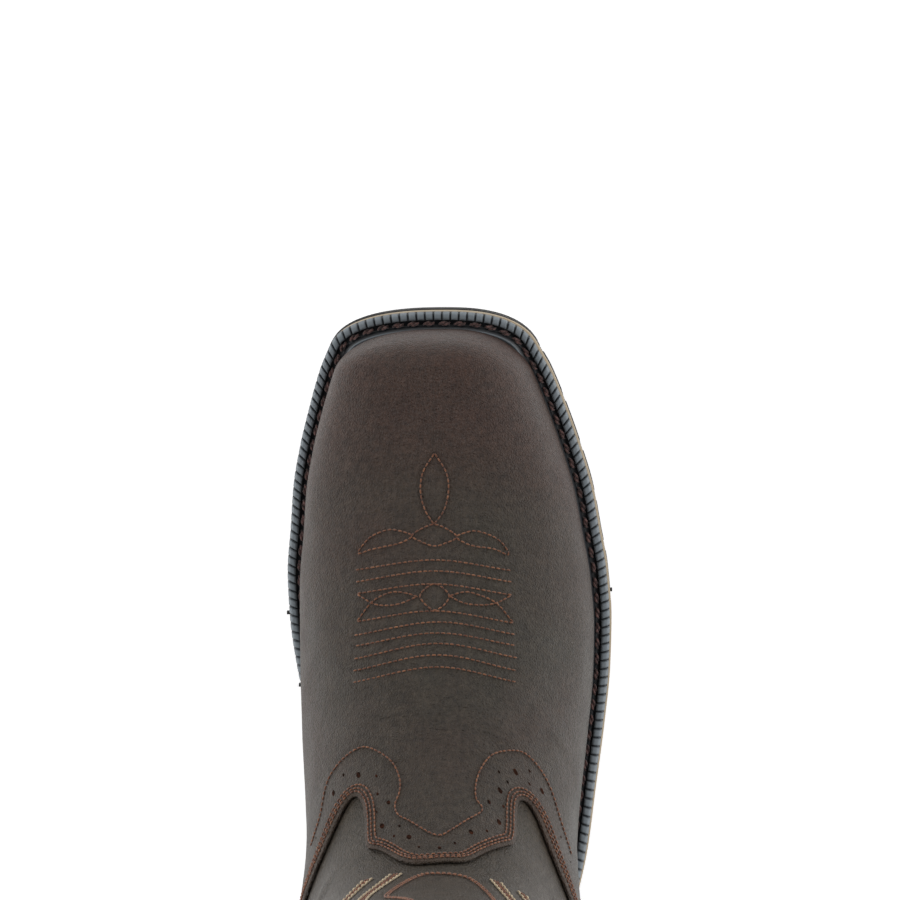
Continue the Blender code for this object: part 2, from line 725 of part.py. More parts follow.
def build_vamp(collection, cutters):
    """Forefoot overlay, its top edge with a tongue point, two notches and two lobes."""
    across = BALL_WIDTH * VAMP_EDGE["across"]
    ahead = SOLE_LENGTH * VAMP_EDGE["ahead"]
    middle = BALL_WIDTH * VAMP_MIDDLE
    outer = [(middle + l, v) for l, v in zip(across, ahead)]
    inner = [(middle - l, v) for l, v in zip(across, ahead)][:0:-1]
    edge = [(inner[0][0], SOLE_LENGTH), *inner, *outer, (outer[-1][0], SOLE_LENGTH)]
    seam = SOLE_LENGTH * SEAM_LINE + SEAT_GAP
    front = [(seam, 0.0), (SOLE_LENGTH, 0.0), (SOLE_LENGTH, BOOT_HEIGHT), (seam, BOOT_HEIGHT)]
    outlines = [
        (edge, INSTEP_AXES, 0.0, BOOT_HEIGHT),
        (front, SIDE_AXES, -BALL_WIDTH, BALL_WIDTH),
    ]
    return overlay("vamp", outlines, collection, cutters)


def build_counter(collection, cutters):
    """Heel overlay, which meets the vamp at the side seams."""
    edge = [(SOLE_LENGTH * f, BOOT_HEIGHT * z) for f, z in zip(COUNTER_EDGE["along"], COUNTER_EDGE["up"])]
    outline = [(edge[0][0], 0.0), *edge, (edge[-1][0], 0.0)]
    return overlay("heel_counter", [(outline, SIDE_AXES, -BALL_WIDTH, BALL_WIDTH)], collection, cutters)


def build_side_seams(collection, cutters):
    """Strip over the seam on each side of the shaft."""
    middle = SOLE_LENGTH * SEAM_ALONG
    top = BOOT_HEIGHT - BINDING_SHARE * (BOOT_HEIGHT - PIVOT_HEIGHT) - SEAM_TOP_GAP
    low = BOOT_HEIGHT * SEAM_FOOT
    half = SEAM_WIDTH / 2
    outline = [(middle - half, low), (middle + half, low), (middle + half, top), (middle - half, top)]
    for side, label in ((1, "outer"), (-1, "inner")):
        low, high = sorted((0.0, side * BALL_WIDTH))
        overlay(f"side_seam_{label}", [(outline, SIDE_AXES, low, high)], collection, cutters)


def build_binding(collection):
    """Narrow leather edge round the collar."""
    reach, around = np.meshgrid([3 - BINDING_SHARE, 3.0], np.linspace(0, 1, SECTION_SAMPLES), indexing="ij")
    outer = leather(reach, around, 0.0)
    inner = leather(reach, around, OVERLAY_THICKNESS)
    points, faces = wall_between(outer, inner, 0)
    return add_object("collar_binding", points, faces, collection, VAMP_BROWN, 0.5)


def shaft_side(f, side, z):
    """Distance of the outer leather surface from the boot's middle plane, straight out to one side."""
    f, z = np.broadcast_arrays(np.asarray(f, float), np.asarray(z, float))
    origin = (f, np.zeros_like(f), z)
    direction = (np.zeros_like(f), np.full_like(f, side), np.zeros_like(f))
    return first_hit(origin, direction)


def strap_path():
    """Middle line of a pull strap (away, up): flat legs, flared into a loop over the collar."""
    shell = OVERLAY_THICKNESS + OVERLAY_GAP + LEATHER_WALL
    inside = -shell - 2 * SEAT_GAP - STRAP_THICKNESS / 2
    outside = SEAT_GAP + STRAP_THICKNESS / 2
    middle = (inside + outside) / 2
    leg_height = np.linspace(BOOT_HEIGHT - STRAP_DROP, BOOT_HEIGHT - STRAP_THICKNESS, 4)
    crown = BOOT_HEIGHT + STRAP_LOOP - LOOP_RADIUS
    arc = np.linspace(-0.1, 1.1, 11) * math.pi
    away = np.concatenate([np.full(4, outside), middle + LOOP_RADIUS * np.cos(arc), np.full(4, inside)])
    up = np.concatenate([leg_height, crown + LOOP_RADIUS * np.sin(arc), leg_height[::-1]])
    return away, up


def build_pull_straps(collection):
    """Plain loop over the collar on each side, one leg outside the shaft and one inside."""
    f = SOLE_LENGTH * SEAM_ALONG + STRAP_WIDTH * np.linspace(-0.5, 0.5, 5)
    away, up = strap_path()
    run_away, run_up = np.gradient(away), np.gradient(up)
    size = np.hypot(run_away, run_up)
    for side, label in ((1, "outer"), (-1, "inner")):
        grids = []
        for half in (STRAP_THICKNESS / 2, -STRAP_THICKNESS / 2):
            place = away + half * run_up / size
            height = up - half * run_away / size
            shaft = shaft_side(f[None, :], side, np.minimum(height, BOOT_HEIGHT)[:, None])
            l = side * (shaft + place[:, None])
            grids.append(np.stack(np.broadcast_arrays(f[None, :], l, height[:, None]), axis=-1))
        points, faces = wall_between(*grids)
        add_object(f"pull_strap_{label}", points, faces, collection, STRAP_BROWN, 0.6)


def main():
    for leftover in list(bpy.data.objects):
        bpy.data.objects.remove(leftover, do_unlink=True)
    scene = bpy.context.scene.collection
    boot = bpy.data.collections.new("western_work_boot")
    cutters = bpy.data.collections.new("cutters")
    scene.children.link(boot)
    scene.children.link(cutters)
    build_outsole(boot, cutters)
    build_heel(boot, cutters)
    build_midsole(boot)
    build_welt(boot)
    build_insole(boot)
    build_upper(boot)
    build_vamp(boot, cutters)
    build_counter(boot, cutters)
    build_side_seams(boot, cutters)
    build_binding(boot)
    build_pull_straps(boot)


main()
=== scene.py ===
"""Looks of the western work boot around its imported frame.

Boot coordinates: f runs forward from the back of the sole, l to the wearer's right and z up, in metres.
"""

import math

import bmesh
import bpy
import numpy as np
from mathutils import Matrix, Vector, kdtree
from mathutils.bvhtree import BVHTree


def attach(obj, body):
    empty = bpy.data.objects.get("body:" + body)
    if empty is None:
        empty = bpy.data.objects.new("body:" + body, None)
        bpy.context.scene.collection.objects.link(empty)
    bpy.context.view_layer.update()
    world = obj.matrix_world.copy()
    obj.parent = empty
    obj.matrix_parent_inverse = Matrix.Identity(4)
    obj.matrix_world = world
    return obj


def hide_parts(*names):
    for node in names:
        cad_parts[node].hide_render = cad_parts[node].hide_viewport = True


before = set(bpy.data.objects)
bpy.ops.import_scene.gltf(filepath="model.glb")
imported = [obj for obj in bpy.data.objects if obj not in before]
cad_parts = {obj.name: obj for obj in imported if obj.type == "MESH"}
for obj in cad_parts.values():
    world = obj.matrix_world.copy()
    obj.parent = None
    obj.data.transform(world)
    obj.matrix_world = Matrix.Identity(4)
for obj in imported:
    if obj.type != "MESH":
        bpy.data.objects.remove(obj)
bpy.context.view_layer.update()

# Driving dimensions
SOLE_LENGTH = 0.312
BALL_WIDTH = 0.118
BOOT_HEIGHT = 0.326
HEEL_HEIGHT = 0.0345
HEEL_LENGTH = 0.086
TOE_SPRING = 0.0125
INSTEP_HEIGHT = 0.118
COLLAR_WIDTH = 0.122
COLLAR_DEPTH = 0.140
COLLAR_DIP = 0.030

# Thicknesses and clearances
OUTSOLE_THICKNESS = 0.0085
LUG_DEPTH = 0.0042
MIDSOLE_THICKNESS = 0.0040
WELT_THICKNESS = 0.0032
LEATHER_WALL = 0.0022
OVERLAY_THICKNESS = 0.0016
STRAP_THICKNESS = 0.0022
SEAT_GAP = 0.0003
OVERLAY_GAP = 0.0004

# Sole edge
WELT_SHOW_TOE = 0.0070
WELT_SHOW_WAIST = 0.0058
TOE_CORNER = 0.0153
TOE_SQUARENESS = 2.5
HEEL_ROUND = 0.0400
HEEL_SQUARENESS = 2.1
WELT_HIDDEN = 0.0046
MIDSOLE_INSET = 0.0004
SOLE_STEP = 0.0008
NUB_LIFT = 0.0015
NUB_DROP = 0.0004

# Tread
GROOVE_PITCH = 0.0185
GROOVE_GAP = 0.0042
GROOVE_REACH = 0.0300
FIRST_GROOVE = SOLE_LENGTH * 0.5385
TREAD_END = 0.0120
CUT_MARGIN = 0.0060
HEEL_TAPER = 0.0030
HEEL_GROOVES = (0.30, 0.52, 0.74)
HEEL_GROOVE_REACH = 0.0216
HEEL_MIDDLE = 0.6

# Upper
TOE_BULGE = 0.0006
HEEL_BULGE = 0.0030
BLEND_RADIUS = 0.0240
PIVOT_FORWARD = SOLE_LENGTH * 0.7692
PIVOT_HEIGHT = BOOT_HEIGHT * 0.7515
TOE_FAN_START = SOLE_LENGTH * 0.9167
RAY_REACH = SOLE_LENGTH * 0.85
RAY_START = 0.0040

# Trim
STRAP_WIDTH = 0.0280
STRAP_DROP = 0.0480
STRAP_LOOP = 0.0200
LOOP_RADIUS = 0.0075
SEAM_WIDTH = 0.0120
SEAM_LINE = 0.324
SEAM_ALONG = 0.215
SEAM_FOOT = 0.352
SEAM_TOP_GAP = 0.0030
BINDING_SHARE = 0.10


def table(names, *rows):
    """Named columns from a row for each station."""
    return {name: np.array(column) for name, column in zip(names.split(), zip(*rows))}


# Half widths are shares of BALL_WIDTH, along is a share of SOLE_LENGTH.
OUTLINE = table(
    "along lateral medial",
    (0.00, 0.330, 0.318),
    (0.13, 0.345, 0.335),
    (0.22, 0.358, 0.332),
    (0.30, 0.397, 0.330),
    (0.37, 0.438, 0.345),
    (0.44, 0.463, 0.378),
    (0.51, 0.488, 0.425),
    (0.58, 0.506, 0.470),
    (0.63, 0.509, 0.489),
    (0.69, 0.498, 0.497),
    (0.74, 0.475, 0.487),
    (0.79, 0.450, 0.478),
    (0.84, 0.410, 0.455),
    (0.88, 0.373, 0.429),
    (0.93, 0.321, 0.391),
    (0.96, 0.280, 0.360),
    (1.00, 0.250, 0.336),
)

# Underside of the outsole: rise is a share of HEEL_HEIGHT behind the ball and of TOE_SPRING ahead of it.
TREAD_LINE = table(
    "along heel_share toe_share",
    (0.00, 1.00, 0.00),
    (0.14, 0.96, 0.00),
    (0.27, 0.84, 0.00),
    (0.36, 0.62, 0.00),
    (0.45, 0.33, 0.00),
    (0.53, 0.11, 0.00),
    (0.60, 0.00, 0.00),
    (0.80, 0.00, 0.00),
    (0.86, 0.00, 0.10),
    (0.93, 0.00, 0.42),
    (1.00, 0.00, 1.00),
)

# Foot of the upper: rise is the height over the feather line as a share of INSTEP_HEIGHT,
# bulges are shares of BALL_WIDTH, arch and dome are the exponents of the section's shape.
FOOT = table(
    "along rise bulge_lateral bulge_medial ridge arch dome",
    (0.00, 0.560, 0.012, 0.012, 0.000, 2.6, 3.0),
    (0.12, 0.600, 0.030, 0.034, 0.000, 2.6, 2.8),
    (0.25, 0.690, 0.046, 0.080, -0.004, 2.5, 2.4),
    (0.36, 0.790, 0.036, 0.118, -0.012, 2.3, 2.1),
    (0.43, 0.900, 0.026, 0.115, -0.018, 2.2, 1.9),
    (0.50, 0.830, 0.022, 0.088, -0.024, 2.2, 1.9),
    (0.56, 0.730, 0.022, 0.056, -0.028, 2.2, 1.9),
    (0.63, 0.620, 0.022, 0.026, -0.030, 2.3, 2.0),
    (0.71, 0.515, 0.018, 0.014, -0.030, 2.4, 2.2),
    (0.79, 0.435, 0.012, 0.010, -0.030, 2.6, 2.5),
    (0.87, 0.375, 0.008, 0.008, -0.030, 2.8, 2.8),
    (0.94, 0.330, 0.004, 0.004, -0.030, 3.0, 3.0),
    (1.00, 0.295, 0.004, 0.004, -0.030, 3.0, 3.0),
)

# Shaft sections: up is a share of BOOT_HEIGHT, width of COLLAR_WIDTH, front and back of COLLAR_DEPTH.
SHAFT = table(
    "up width front back",
    (0.20, 0.72, 0.930, 0.120),
    (0.30, 0.80, 0.985, 0.085),
    (0.38, 0.82, 0.985, 0.065),
    (0.46, 0.85, 0.965, 0.050),
    (0.56, 0.88, 0.955, 0.030),
    (0.70, 0.93, 0.975, 0.015),
    (0.85, 0.98, 1.000, 0.008),
    (1.10, 1.00, 1.010, 0.006),
)
SHAFT_SQUARENESS = 2.25
SHAFT_FLOOR = 0.27
SHAFT_SINK = 0.10

# Top edge of the heel counter from the side: along is a share of SOLE_LENGTH, up of BOOT_HEIGHT.
COUNTER_EDGE = table(
    "along up",
    (0.324, 0.290),
    (0.290, 0.322),
    (0.240, 0.338),
    (0.180, 0.335),
    (0.110, 0.340),
    (0.050, 0.365),
    (-0.020, 0.378),
)


def read(source, column, at):
    """Smooth curve through one column of a table, without overshoot."""
    keys = source[next(iter(source))]
    values = source[column]
    at = np.clip(at, keys[0], keys[-1])
    steps = np.diff(keys)
    slopes = np.diff(values) / steps
    inner = np.where(
        slopes[1:] * slopes[:-1] > 0,
        2 * slopes[1:] * slopes[:-1] / np.where(slopes[1:] + slopes[:-1] == 0, 1, slopes[1:] + slopes[:-1]),
        0.0,
    )
    tangents = np.concatenate([slopes[:1], inner, slopes[-1:]])
    i = np.clip(np.searchsorted(keys, at, side="right") - 1, 0, len(steps) - 1)
    t = (at - keys[i]) / steps[i]
    return (
        values[i] * (1 + 2 * t) * (1 - t) ** 2
        + values[i + 1] * t * t * (3 - 2 * t)
        + steps[i] * tangents[i] * t * (1 - t) ** 2
        - steps[i] * tangents[i + 1] * t * t * (1 - t)
    )


def tread_height(f):
    """Underside of the outsole over the floor, without the heel block."""
    along = f / SOLE_LENGTH
    heel = HEEL_HEIGHT * read(TREAD_LINE, "heel_share", along)
    return heel + TOE_SPRING * read(TREAD_LINE, "toe_share", along)


def midsole_floor(f):
    return tread_height(f) + OUTSOLE_THICKNESS + SEAT_GAP


def welt_floor(f):
    return midsole_floor(f) + MIDSOLE_THICKNESS + SEAT_GAP


def feather_height(f):
    """Top of the welt, where the upper's lower edge sits."""
    return welt_floor(f) + WELT_THICKNESS + SEAT_GAP


def side_width(f, side):
    """Half width of the sole before its ends are rounded, side +1 outer and -1 inner."""
    along = f / SOLE_LENGTH
    outer = read(OUTLINE, "lateral", along)
    inner = read(OUTLINE, "medial", along)
    return BALL_WIDTH * np.where(side > 0, outer, inner)


def end_terms(f, toe_tip, heel_tip):
    toe = np.clip((f - toe_tip + TOE_CORNER) / TOE_CORNER, 0, None) ** TOE_SQUARENESS
    heel = np.clip((heel_tip + HEEL_ROUND - f) / HEEL_ROUND, 0, None) ** HEEL_SQUARENESS
    return toe, heel


def squareness(f):
    return np.where(f > SOLE_LENGTH / 2, TOE_SQUARENESS, HEEL_SQUARENESS)


def welt_show(f):
    """How far the feather line stands in from the sole's outline."""
    share = np.clip((f / SOLE_LENGTH - 0.35) / 0.35, 0, 1)
    return WELT_SHOW_WAIST + (WELT_SHOW_TOE - WELT_SHOW_WAIST) * share


def outline_loop(inset, count):
    """Points (f, l) round the sole's outline, moved in along the normal by inset."""
    middle = SOLE_LENGTH / 2
    turn = np.linspace(0, 2 * math.pi, 4000, endpoint=False)
    f = middle - middle * np.cos(turn)
    side = np.where(turn < math.pi, 1, -1)
    toe, heel = end_terms(f, SOLE_LENGTH, 0.0)
    l = side * side_width(f, side) * np.clip(1 - toe - heel, 0, 1) ** (1 / squareness(f))
    tangent_f = np.roll(f, -1) - np.roll(f, 1)
    tangent_l = np.roll(l, -1) - np.roll(l, 1)
    size = np.hypot(tangent_f, tangent_l)
    depth = inset(f) if callable(inset) else inset
    f, l = f + depth * tangent_l / size, l - depth * tangent_f / size
    return even_points(f, l, count)


def even_points(f, l, count):
    """The same closed loop with count points at even spacing."""
    f = np.append(f, f[0])
    l = np.append(l, l[0])
    run = np.concatenate([[0], np.cumsum(np.hypot(np.diff(f), np.diff(l)))])
    at = np.linspace(0, run[-1], count, endpoint=False)
    return np.interp(at, run, f), np.interp(at, run, l)


def foot_field(f, l, z):
    """Below zero inside the foot of the upper."""
    along = f / SOLE_LENGTH
    rise = INSTEP_HEIGHT * read(FOOT, "rise", along)
    level = np.clip((z - feather_height(f)) / rise, 0, None)
    swell = 1 - np.clip(1 - level / 0.45, 0, 1) ** 2
    side = np.where(l > 0, 1, -1)
    outer_bulge = read(FOOT, "bulge_lateral", along)
    bulge = BALL_WIDTH * np.where(side > 0, outer_bulge, read(FOOT, "bulge_medial", along))
    show = welt_show(f)
    width = side_width(f, side) - show + bulge * swell
    ridge = BALL_WIDTH * read(FOOT, "ridge", along) * np.clip(level, 0, 1)
    toe, heel = end_terms(f, SOLE_LENGTH - show + TOE_BULGE * swell, show - HEEL_BULGE * swell)
    corner = squareness(f)
    planar = ((np.abs(l - ridge) / width) ** corner + toe + heel) ** (1 / corner)
    return planar ** read(FOOT, "arch", along) + level ** read(FOOT, "dome", along) - 1


def shaft_field(f, l, z):
    """Below zero inside the shaft, which closes below the ankle."""
    up = z / BOOT_HEIGHT
    front = COLLAR_DEPTH * read(SHAFT, "front", up)
    back = COLLAR_DEPTH * read(SHAFT, "back", up)
    half = COLLAR_WIDTH / 2 * read(SHAFT, "width", up)
    sink = np.clip((SHAFT_FLOOR - up) / SHAFT_SINK, 0, None)
    long = np.abs(f - (front + back) / 2) / ((front - back) / 2)
    wide = np.abs(l) / half
    return long**SHAFT_SQUARENESS + wide**SHAFT_SQUARENESS + sink**2 - 1


def slope(field, point, step=0.0002):
    """Gradient of a field by central differences."""
    parts = []
    for axis in range(3):
        ahead = [value + step * (axis == i) for i, value in enumerate(point)]
        behind = [value - step * (axis == i) for i, value in enumerate(point)]
        parts.append((field(*ahead) - field(*behind)) / (2 * step))
    return parts


def distance(field, point):
    """First-order distance to a field's surface."""
    size = np.sqrt(sum(part**2 for part in slope(field, point)))
    return field(*point) / np.maximum(size, 1.0)


def boot_field(f, l, z):
    """Distance to the outer leather surface, the foot and the shaft joined with a soft fillet."""
    foot = distance(foot_field, (f, l, z))
    shaft = distance(shaft_field, (f, l, z))
    mix = np.clip(0.5 + 0.5 * (foot - shaft) / BLEND_RADIUS, 0, 1)
    return foot * (1 - mix) + shaft * mix - BLEND_RADIUS * mix * (1 - mix)


def first_hit(origin, direction, steps=34):
    """Where rays from inside leave the leather surface, by bisection."""
    near = np.zeros(np.broadcast(origin[0], direction[0]).shape)
    far = near + RAY_REACH
    for _ in range(steps):
        middle = (near + far) / 2
        inside = boot_field(*[o + middle * d for o, d in zip(origin, direction)]) < 0
        near = np.where(inside, middle, near)
        far = np.where(inside, far, middle)
    return (near + far) / 2


def section_planes(reach):
    """Base point and lean of the section planes: reach 0 toe, 1 heel, 2 pivot height, 3 collar."""
    heel = welt_show(0.0)
    toe_share = np.clip(reach / 0.3, 0, 1)
    back_share = np.clip((reach - 0.3) / 0.7, 0, 1)
    toe_base = TOE_FAN_START + (PIVOT_FORWARD - TOE_FAN_START) * toe_share
    back_base = PIVOT_FORWARD + (heel - PIVOT_FORWARD) * np.sin(back_share * math.pi / 2)
    base = np.where(reach < 0.3, toe_base, back_base)
    climb = np.clip(reach - 1, 0, 1)
    height = feather_height(base) + (PIVOT_HEIGHT - feather_height(base)) * climb
    feather_slope = math.atan2(
        float(feather_height(SOLE_LENGTH - WELT_SHOW_TOE) - feather_height(TOE_FAN_START)),
        SOLE_LENGTH - WELT_SHOW_TOE - TOE_FAN_START,
    )
    toe_lean = (math.pi / 2 - feather_slope) * (1 - toe_share) ** 1.3
    back_lean = np.arctan2(PIVOT_FORWARD - base, np.maximum(PIVOT_HEIGHT - height, 0))
    return base, height, np.where(reach < 0.3, toe_lean, back_lean)


def section_rays(reach, around):
    """Origins and directions of the rays that find the surface, for arrays of the same shape."""
    base, height, lean = section_planes(reach)
    ahead = (np.sin(lean), np.zeros_like(lean), np.cos(lean))
    start = (base, np.zeros_like(base), height)
    inset = tuple(value + RAY_START * part for value, part in zip(start, ahead))
    length = first_hit(inset, ahead) + RAY_START
    share = np.interp(reach, [0.0, 0.3, 1.0, 1.4, 3.0], [0.0, 0.08, 0.45, 0.5, 0.5])
    lift = share * length
    origin = [value + lift * part for value, part in zip(start, ahead)]
    foot_end = reach < 1
    toe, heel = end_terms(base, SOLE_LENGTH - WELT_SHOW_TOE, welt_show(0.0))
    round_off = np.clip(1 - toe - heel, 0, 1) ** (1 / squareness(base))
    outer = (side_width(base, 1) - welt_show(base)) * round_off
    inner = (side_width(base, -1) - welt_show(base)) * round_off
    begin = np.where(foot_end, np.arctan2(outer, lift), 0.0)
    end = 2 * math.pi - np.where(foot_end, np.arctan2(inner, lift), 0.0)
    turn = begin + (end - begin) * around
    climb = np.clip(reach - 2, 0, 1)
    mid_share = (1 - np.cos(2 * turn)) / 2
    edge = BOOT_HEIGHT - COLLAR_DIP * (1 - mid_share)
    origin[2] = origin[2] + climb * (edge - PIVOT_HEIGHT)
    across = np.sin(turn)
    along = -np.cos(turn)
    return origin, (along * ahead[0], across, along * ahead[2])


def leather(reach, around):
    """Points (f, l, z) of the outer leather surface."""
    origin, direction = section_rays(reach, around)
    length = first_hit(origin, direction)
    point = [o + length * d for o, d in zip(origin, direction)]
    point[2] = np.where(reach <= 1, np.maximum(point[2], feather_height(point[0])), point[2])
    return np.stack(point, axis=-1)


def placed(points):
    """World coordinates of boot points: toe toward -Y, outer side toward -X."""
    points = np.asarray(points, float)
    return np.stack([-points[..., 1], SOLE_LENGTH / 2 - points[..., 0], points[..., 2]], axis=-1)


# Photograph frame, in pixels, and the camera that looks down on the toe
FRAME_SIZE = 900
SENSOR = 36.0
CAMERA_TARGET = (0.2603, 0.0011, 0.0200)
CAMERA_DISTANCE = 1.8
CAMERA_TILT_OUT = math.radians(2.0)
CAMERA_TILT_TOE = math.radians(6.0)
METRES_PER_PIXEL = 0.000364

# Studio light
HORIZON_LIGHT = 0.85
ZENITH_LIGHT = 0.36
SIDE_LIGHT = 9.0
FLOOR_GLOW = 0.55
FLOOR_EDGE = 6.0

# Detail sizes
SHAFT_DEPTH = OVERLAY_THICKNESS + OVERLAY_GAP
STITCH_PITCH = 0.00195
THREAD_RADIUS = 0.00030
SEAM_GROOVE = 0.00030
SEAM_GROOVE_WIDTH = 0.0009
RIB_PITCH = 0.00313
OUTER_LEDGE = 0.0006
TOE_LEDGE = 0.0006
STITCH_INSET = 0.0045
LOCKSTITCH_PITCH = 0.0056
EDGE_ROUND = 0.0005
EDGE_REACH = 0.0011
WEAR_REACH = 0.0016
FLEX_AHEAD = 0.050
FLEX_SPREAD = 0.024
FLEX_ACROSS = 0.034
WARM_FROM = 0.118
WARM_REACH = 0.034
STRAND_RADIUS = 0.00052
# Fine grain speckle: darkest and lightest tone factors; the lightening is partly the grain's own tone and
# partly painted glints of the pebble tops.
GRAIN_DARK = 0.64
GRAIN_LIGHT_AND_GLINT = 1.42
STITCH_FILL = 0.80
LEDGE_REACH = 0.03
RING_POINTS = 480
VAMP_ROWS = (0.0015, 0.0026, 0.0039)
COUNTER_ROWS = (0.0027, 0.0045)
SHARP_ANGLE = math.radians(32.0)
CUT_FLOOR = -0.004
SLOT_WIDTH = 0.0024
SLOT_TURN = 0.55
SLOT_MIDDLE = 0.0125
SLOT_LENGTH = 0.021
SLOT_DROP = 0.0020
HEEL_SLOT_AHEAD = 0.010
HEEL_SLOT_MIDDLE = 0.009
HEEL_SLOT_LENGTH = 0.015
HEEL_SLOT_TOP = 0.0020

# Side nubs of the sole: place along it, side (+1 outer) and how far the middle stands in from the edge
SIDE_NUBS = ((0.2071, 1, 0.0015), (0.1714, -1, 0.0003), (0.1980, -1, 0.0003))
NUB_ALONG = 0.0012
NUB_ACROSS = 0.0044

# Shaft pattern: the front one sits to the outer side and its outer flames lie a little lower
FRONT_SHIFT = 0.0050
OUTER_DROP = 0.0035
SHAFT_MIDDLE = 0.0707
SHAFT_RADIUS = 0.062
SHAFT_GROOVE_WIDTH = 0.0022
THREAD_LIFT = 0.0002
CREAM_RADIUS = 0.00040
CREAM_PITCH = 0.0026

# Vamp edge in the slope's own plane: across to the outer side, ahead toward the toe, in millimetres.
VAMP_LINE = table(
    "across ahead",
    (-72.0, 0.0),
    (-58.0, 4.5),
    (-48.3, 7.6),
    (-44.0, 9.8),
    (-38.6, 14.2),
    (-34.5, 20.6),
    (-31.6, 24.2),
    (-29.2, 24.9),
    (-27.2, 22.4),
    (-25.2, 16.0),
    (-24.4, -1.2),
    (-22.6, -2.8),
    (-20.1, -3.9),
    (-16.3, -7.6),
    (-12.2, -12.6),
    (-7.6, -16.0),
    (-3.9, -16.4),
    (1.5, -15.4),
    (5.5, -14.6),
    (10.0, -14.0),
    (13.5, -11.4),
    (16.2, -7.4),
    (21.4, -1.8),
    (25.4, 2.0),
    (28.4, 4.6),
    (28.0, 22.6),
    (29.3, 26.4),
    (31.9, 27.6),
    (35.5, 24.0),
    (38.7, 17.6),
    (42.6, 11.4),
    (47.5, 5.0),
    (58.0, 1.6),
    (72.0, 0.0),
)

# Stitch lines on the vamp as photograph pixels (x, y), closed where the last point repeats the first
LEAF = (
    ((434.5, 453), (423, 472), (420.5, 491.5), (425, 510), (434, 524.5)),
    ((434.5, 453), (446, 472), (448.5, 490.5), (444, 510), (434, 524.5)),
    (
        (434, 524.5), (421, 529), (412, 536), (423, 542.5), (434.5, 546),
        (446, 543), (456.5, 537), (447, 529), (434, 524.5),
    ),
)
WINGS = (
    (
        (412, 536), (400, 531), (387.5, 530), (370, 537.5), (358, 553),
        (371, 549.5), (385, 546.5), (400, 543), (412, 536),
    ),
    (
        (456.5, 537), (466, 532.5), (476, 531), (492, 536), (503, 544),
        (508, 554.5), (494, 549), (477, 546.5), (466, 543.5), (456.5, 537),
    ),
)
ARCS = table(
    "left left_y middle middle_y right right_y",
    (355, 570, 434.5, 560, 511, 570.5),
    (355.5, 582, 434.5, 571, 512, 582),
    (357, 593.5, 434.5, 584, 512, 595),
    (357, 621.5, 434.5, 611, 513.5, 623),
    (354, 635.5, 438, 622, 515, 634.5),
    (355.5, 646, 437, 633, 515, 645.5),
    (354, 659, 437, 643.5, 517.5, 658),
    (353, 671, 437, 655, 516, 670.5),
    (353, 682.5, 437, 667, 516, 682),
)
CROSSINGS = (
    (
        (434.5, 584), (426, 588), (420, 596), (426, 605), (434.5, 610),
        (444, 605), (449, 596), (443, 588), (434.5, 584),
    ),
    ((357, 594), (373, 603.5), (387.5, 605.5), (402, 603), (416, 597)),
    ((357, 621.5), (370, 604), (381, 596), (394, 592), (408, 593.5), (418, 597)),
    ((449, 596), (464, 592), (476, 594), (496, 603), (513.5, 623)),
    ((449, 596), (464, 603), (481, 605), (496, 603), (511, 595.5)),
)
LOBE_LINE = (
    (310.5, 846), (320, 815.5), (324.5, 791.5), (331, 774), (345, 757), (362.5, 747), (380, 752.5),
    (393, 763.5), (399.5, 778.5), (399.5, 791.5), (395, 804.5), (398, 814.5), (410, 821), (429.5, 832.5),
    (440.5, 835), (451.5, 829.5), (466.5, 820), (480.5, 812), (481.5, 806.5), (476, 798), (476, 783),
    (481.5, 767.5), (492.5, 754.5), (510, 750.5), (525, 753.5), (540, 769), (551, 789.5), (558.5, 813),
    (566, 837), (571.5, 854.5),
)

# Pinked holes as photograph pixels and a size share of HOLE_SIZE
HOLE_SIZE = 0.00100
HOLE_SLANT = 0.5
HOLES = table(
    "x y share",
    (343.5, 775, 0.55), (358.5, 775, 1.0), (376.5, 776, 0.5), (333.5, 793, 1.0), (377.5, 794, 0.5),
    (388.5, 802.5, 0.75), (376.5, 812, 0.35), (382, 826, 0.95), (399.5, 826, 0.5), (394, 836, 0.5),
    (409, 837, 0.95), (419, 847, 0.5), (439.5, 848, 0.7), (328, 822, 0.5), (316, 838, 0.5),
    (499, 772, 0.5), (515.5, 772, 1.0), (529.5, 771, 0.5), (507.5, 782, 0.5), (529.5, 784, 0.5),
    (500, 790.5, 0.95), (542, 791, 1.0), (489, 802, 0.7), (503.5, 806.5, 0.5), (499, 822, 0.95),
    (487, 831, 0.5), (471, 832, 0.9), (455, 843, 0.5), (561, 837, 0.5), (570.5, 862, 0.5),
)

# Creases across the flex of the foot and round the ankle, in the slope's plane in millimetres:
# a line from one end to the other with its depth and half width
CREASES = table(
    "start_a start_b stop_a stop_b depth width",
    (-30.0, 52.0, 24.0, 50.0, 0.50, 3.2),
    (-20.0, 44.0, 32.0, 45.0, 0.40, 2.6),
    (-34.0, 62.0, 12.0, 60.0, 0.35, 2.8),
    (-8.0, 38.0, 22.0, 36.0, 0.30, 2.2),
    (-26.0, 34.0, -2.0, 31.0, 0.28, 2.0),
    (-42.0, 70.0, -20.0, 60.0, 0.45, 3.0),
    (22.0, 58.0, 44.0, 72.0, 0.45, 3.0),
    (30.0, 50.0, 47.0, 60.0, 0.35, 2.4),
)


def camera_axes():
    """Back, up and right directions of the camera in boot coordinates."""
    back = np.array([math.tan(CAMERA_TILT_TOE), math.tan(CAMERA_TILT_OUT), 1.0])
    back /= np.linalg.norm(back)
    up = np.array([1.0, 0.0, 0.0]) - back[0] * back
    up /= np.linalg.norm(up)
    right = np.cross(back, up)
    return back, up, right * math.copysign(1.0, right[1])


def world_direction(vector):
    return Vector((-vector[1], -vector[0], vector[2]))


